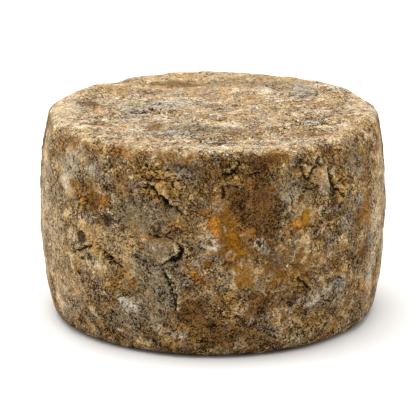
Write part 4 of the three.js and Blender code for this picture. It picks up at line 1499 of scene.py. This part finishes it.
@dataclass
class CheeseRind:
    """The whole crust of the wheel, over the solid wheel that carries it."""

    blank: WheelBlank = field(default_factory=WheelBlank)
    relief: RindRelief = field(default_factory=RindRelief)
    finish: NaturalRind = field(default_factory=NaturalRind)
    strewn: StrewnMarks = field(default_factory=StrewnMarks)
    foot: Pair = (0.4 * MM, 7 * MM)
    rim: Pair = (114 * MM, 119 * MM)
    weld: float = 0.001 * MM

    def solid_mesh(self, node: bpy.types.Object) -> bpy.types.Mesh:
        """Copies the solid's mesh and merges its doubles.

        Args:
            node: the solid wheel.

        Returns:
            The copy.
        """
        mesh = node.data.copy()
        work = bmesh.new()
        work.from_mesh(mesh)
        bmesh.ops.remove_doubles(work, verts=work.verts, dist=self.weld)
        work.to_mesh(mesh)
        work.free()
        return mesh

    def build(self, node: bpy.types.Object) -> bpy.types.Object:
        """Builds and dresses the crust.

        Args:
            node: the solid wheel.

        Returns:
            The crust.
        """
        solid = self.solid_mesh(node)
        blank, places = self.blank.lay(solid)
        bpy.data.meshes.remove(solid)
        chart = RindMap(places)
        marks = listed(FRONT_MARKS, Face.SIDE) + listed(TOP_MARKS, Face.TOP) + self.strewn.marks()
        values = chart.growth(marks)
        values.update(chart.cracks(FRONT_CRACKS + FAR_CRACKS))
        values["free"] = smooth_step(places[:, 2], *self.foot)
        values["top"] = smooth_step(places[:, 2], *self.rim)
        chart.write(blank.data, values)
        rind = self.relief.raise_crust(blank, self.finish.material())
        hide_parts(node.name)
        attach(rind, "root")
        LOG.info("rind: %d faces", len(rind.data.polygons))
        return rind


@dataclass(frozen=True)
class SoftLight:
    """One large studio light: where it stands, its size and its power."""

    name: str
    place: tuple[float, float, float]
    size: float
    power: float

    def hang(self) -> None:
        """Puts the light in the studio, turned to the wheel."""
        light = bpy.data.lights.new(self.name, "AREA")
        light.shape = "SQUARE"
        light.size = self.size
        light.energy = self.power
        lamp = bpy.data.objects.new(self.name, light)
        lamp.location = self.place
        aim = Vector(WHEEL_MIDDLE) - Vector(self.place)
        lamp.rotation_euler = aim.to_track_quat("-Z", "Y").to_euler()
        bpy.context.scene.collection.objects.link(lamp)


@dataclass
class Studio:
    """A pale floor, soft light from above and both sides, and the camera."""

    floor_size: float = 8.0
    floor_drop: float = 0.1 * MM
    camera_distance: float = 1.6
    camera_pitch: float = 16.31
    lens: float = 237.26
    sensor: float = 36.0
    sideways: float = -0.0069
    upward: float = -0.0069
    surround: float = 0.6
    lights: tuple[SoftLight, ...] = (
        SoftLight("overhead", (-0.12, 0.05, 1.5), 1.5, 29.0),
        SoftLight("left", (-1.5, 0.35, 0.55), 1.2, 8.5),
        SoftLight("right", (1.5, 0.45, 0.55), 1.2, 6.2),
    )

    @staticmethod
    def paper() -> bpy.types.Material:
        """Mixes matt white paper, which gives the eye a soft, even ground.

        Returns:
            The material.
        """
        material = bpy.data.materials.new("white_paper_floor")
        material.use_nodes = True
        shader = material.node_tree.nodes["Principled BSDF"]
        finish = {"Base Color": linear_colour("#F4F3F1"), "Roughness": 0.9, "Specular IOR Level": 0.1}
        for name, value in finish.items():
            shader.inputs[name].default_value = value
        return material

    def floor(self) -> bpy.types.Object:
        """Lays the floor.

        Returns:
            The floor.
        """
        half = self.floor_size / 2
        corners = [(x * half, y * half, -self.floor_drop) for x, y in ((-1, -1), (1, -1), (1, 1), (-1, 1))]
        mesh = bpy.data.meshes.new("floor")
        mesh.from_pydata(corners, [], [(0, 1, 2, 3)])
        mesh.materials.append(self.paper())
        floor = bpy.data.objects.new("floor", mesh)
        bpy.context.scene.collection.objects.link(floor)
        return floor

    def camera(self) -> None:
        """Stands the camera in front and a little above."""
        pitch = math.radians(self.camera_pitch)
        data = bpy.data.cameras.new("camera")
        data.lens = self.lens
        data.sensor_width = self.sensor
        data.shift_x = self.sideways
        data.shift_y = self.upward
        camera = bpy.data.objects.new("camera", data)
        middle = Vector(WHEEL_MIDDLE)
        camera.location = middle + self.camera_distance * Vector((0.0, -math.cos(pitch), math.sin(pitch)))
        camera.rotation_euler = (middle - camera.location).to_track_quat("-Z", "Y").to_euler()
        bpy.context.scene.collection.objects.link(camera)
        bpy.context.scene.camera = camera

    def set_up(self) -> None:
        """Builds the whole studio."""
        self.floor()
        self.camera()
        for light in self.lights:
            light.hang()
        world = bpy.data.worlds.new("pale_room")
        world.use_nodes = True
        background = world.node_tree.nodes["Background"]
        background.inputs["Color"].default_value = (1.0, 1.0, 1.0, 1.0)
        background.inputs["Strength"].default_value = self.surround
        bpy.context.scene.world = world
        bpy.context.scene.view_settings.view_transform = "Standard"
        LOG.info("studio: %d lights", len(self.lights))


def main() -> None:
    """Builds the wheel and the studio."""
    logging.basicConfig(level=logging.INFO, format="%(name)s: %(message)s")
    CheeseRind().build(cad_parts["cheese_wheel"])
    Studio().set_up()


if __name__ == "__main__":
    main()
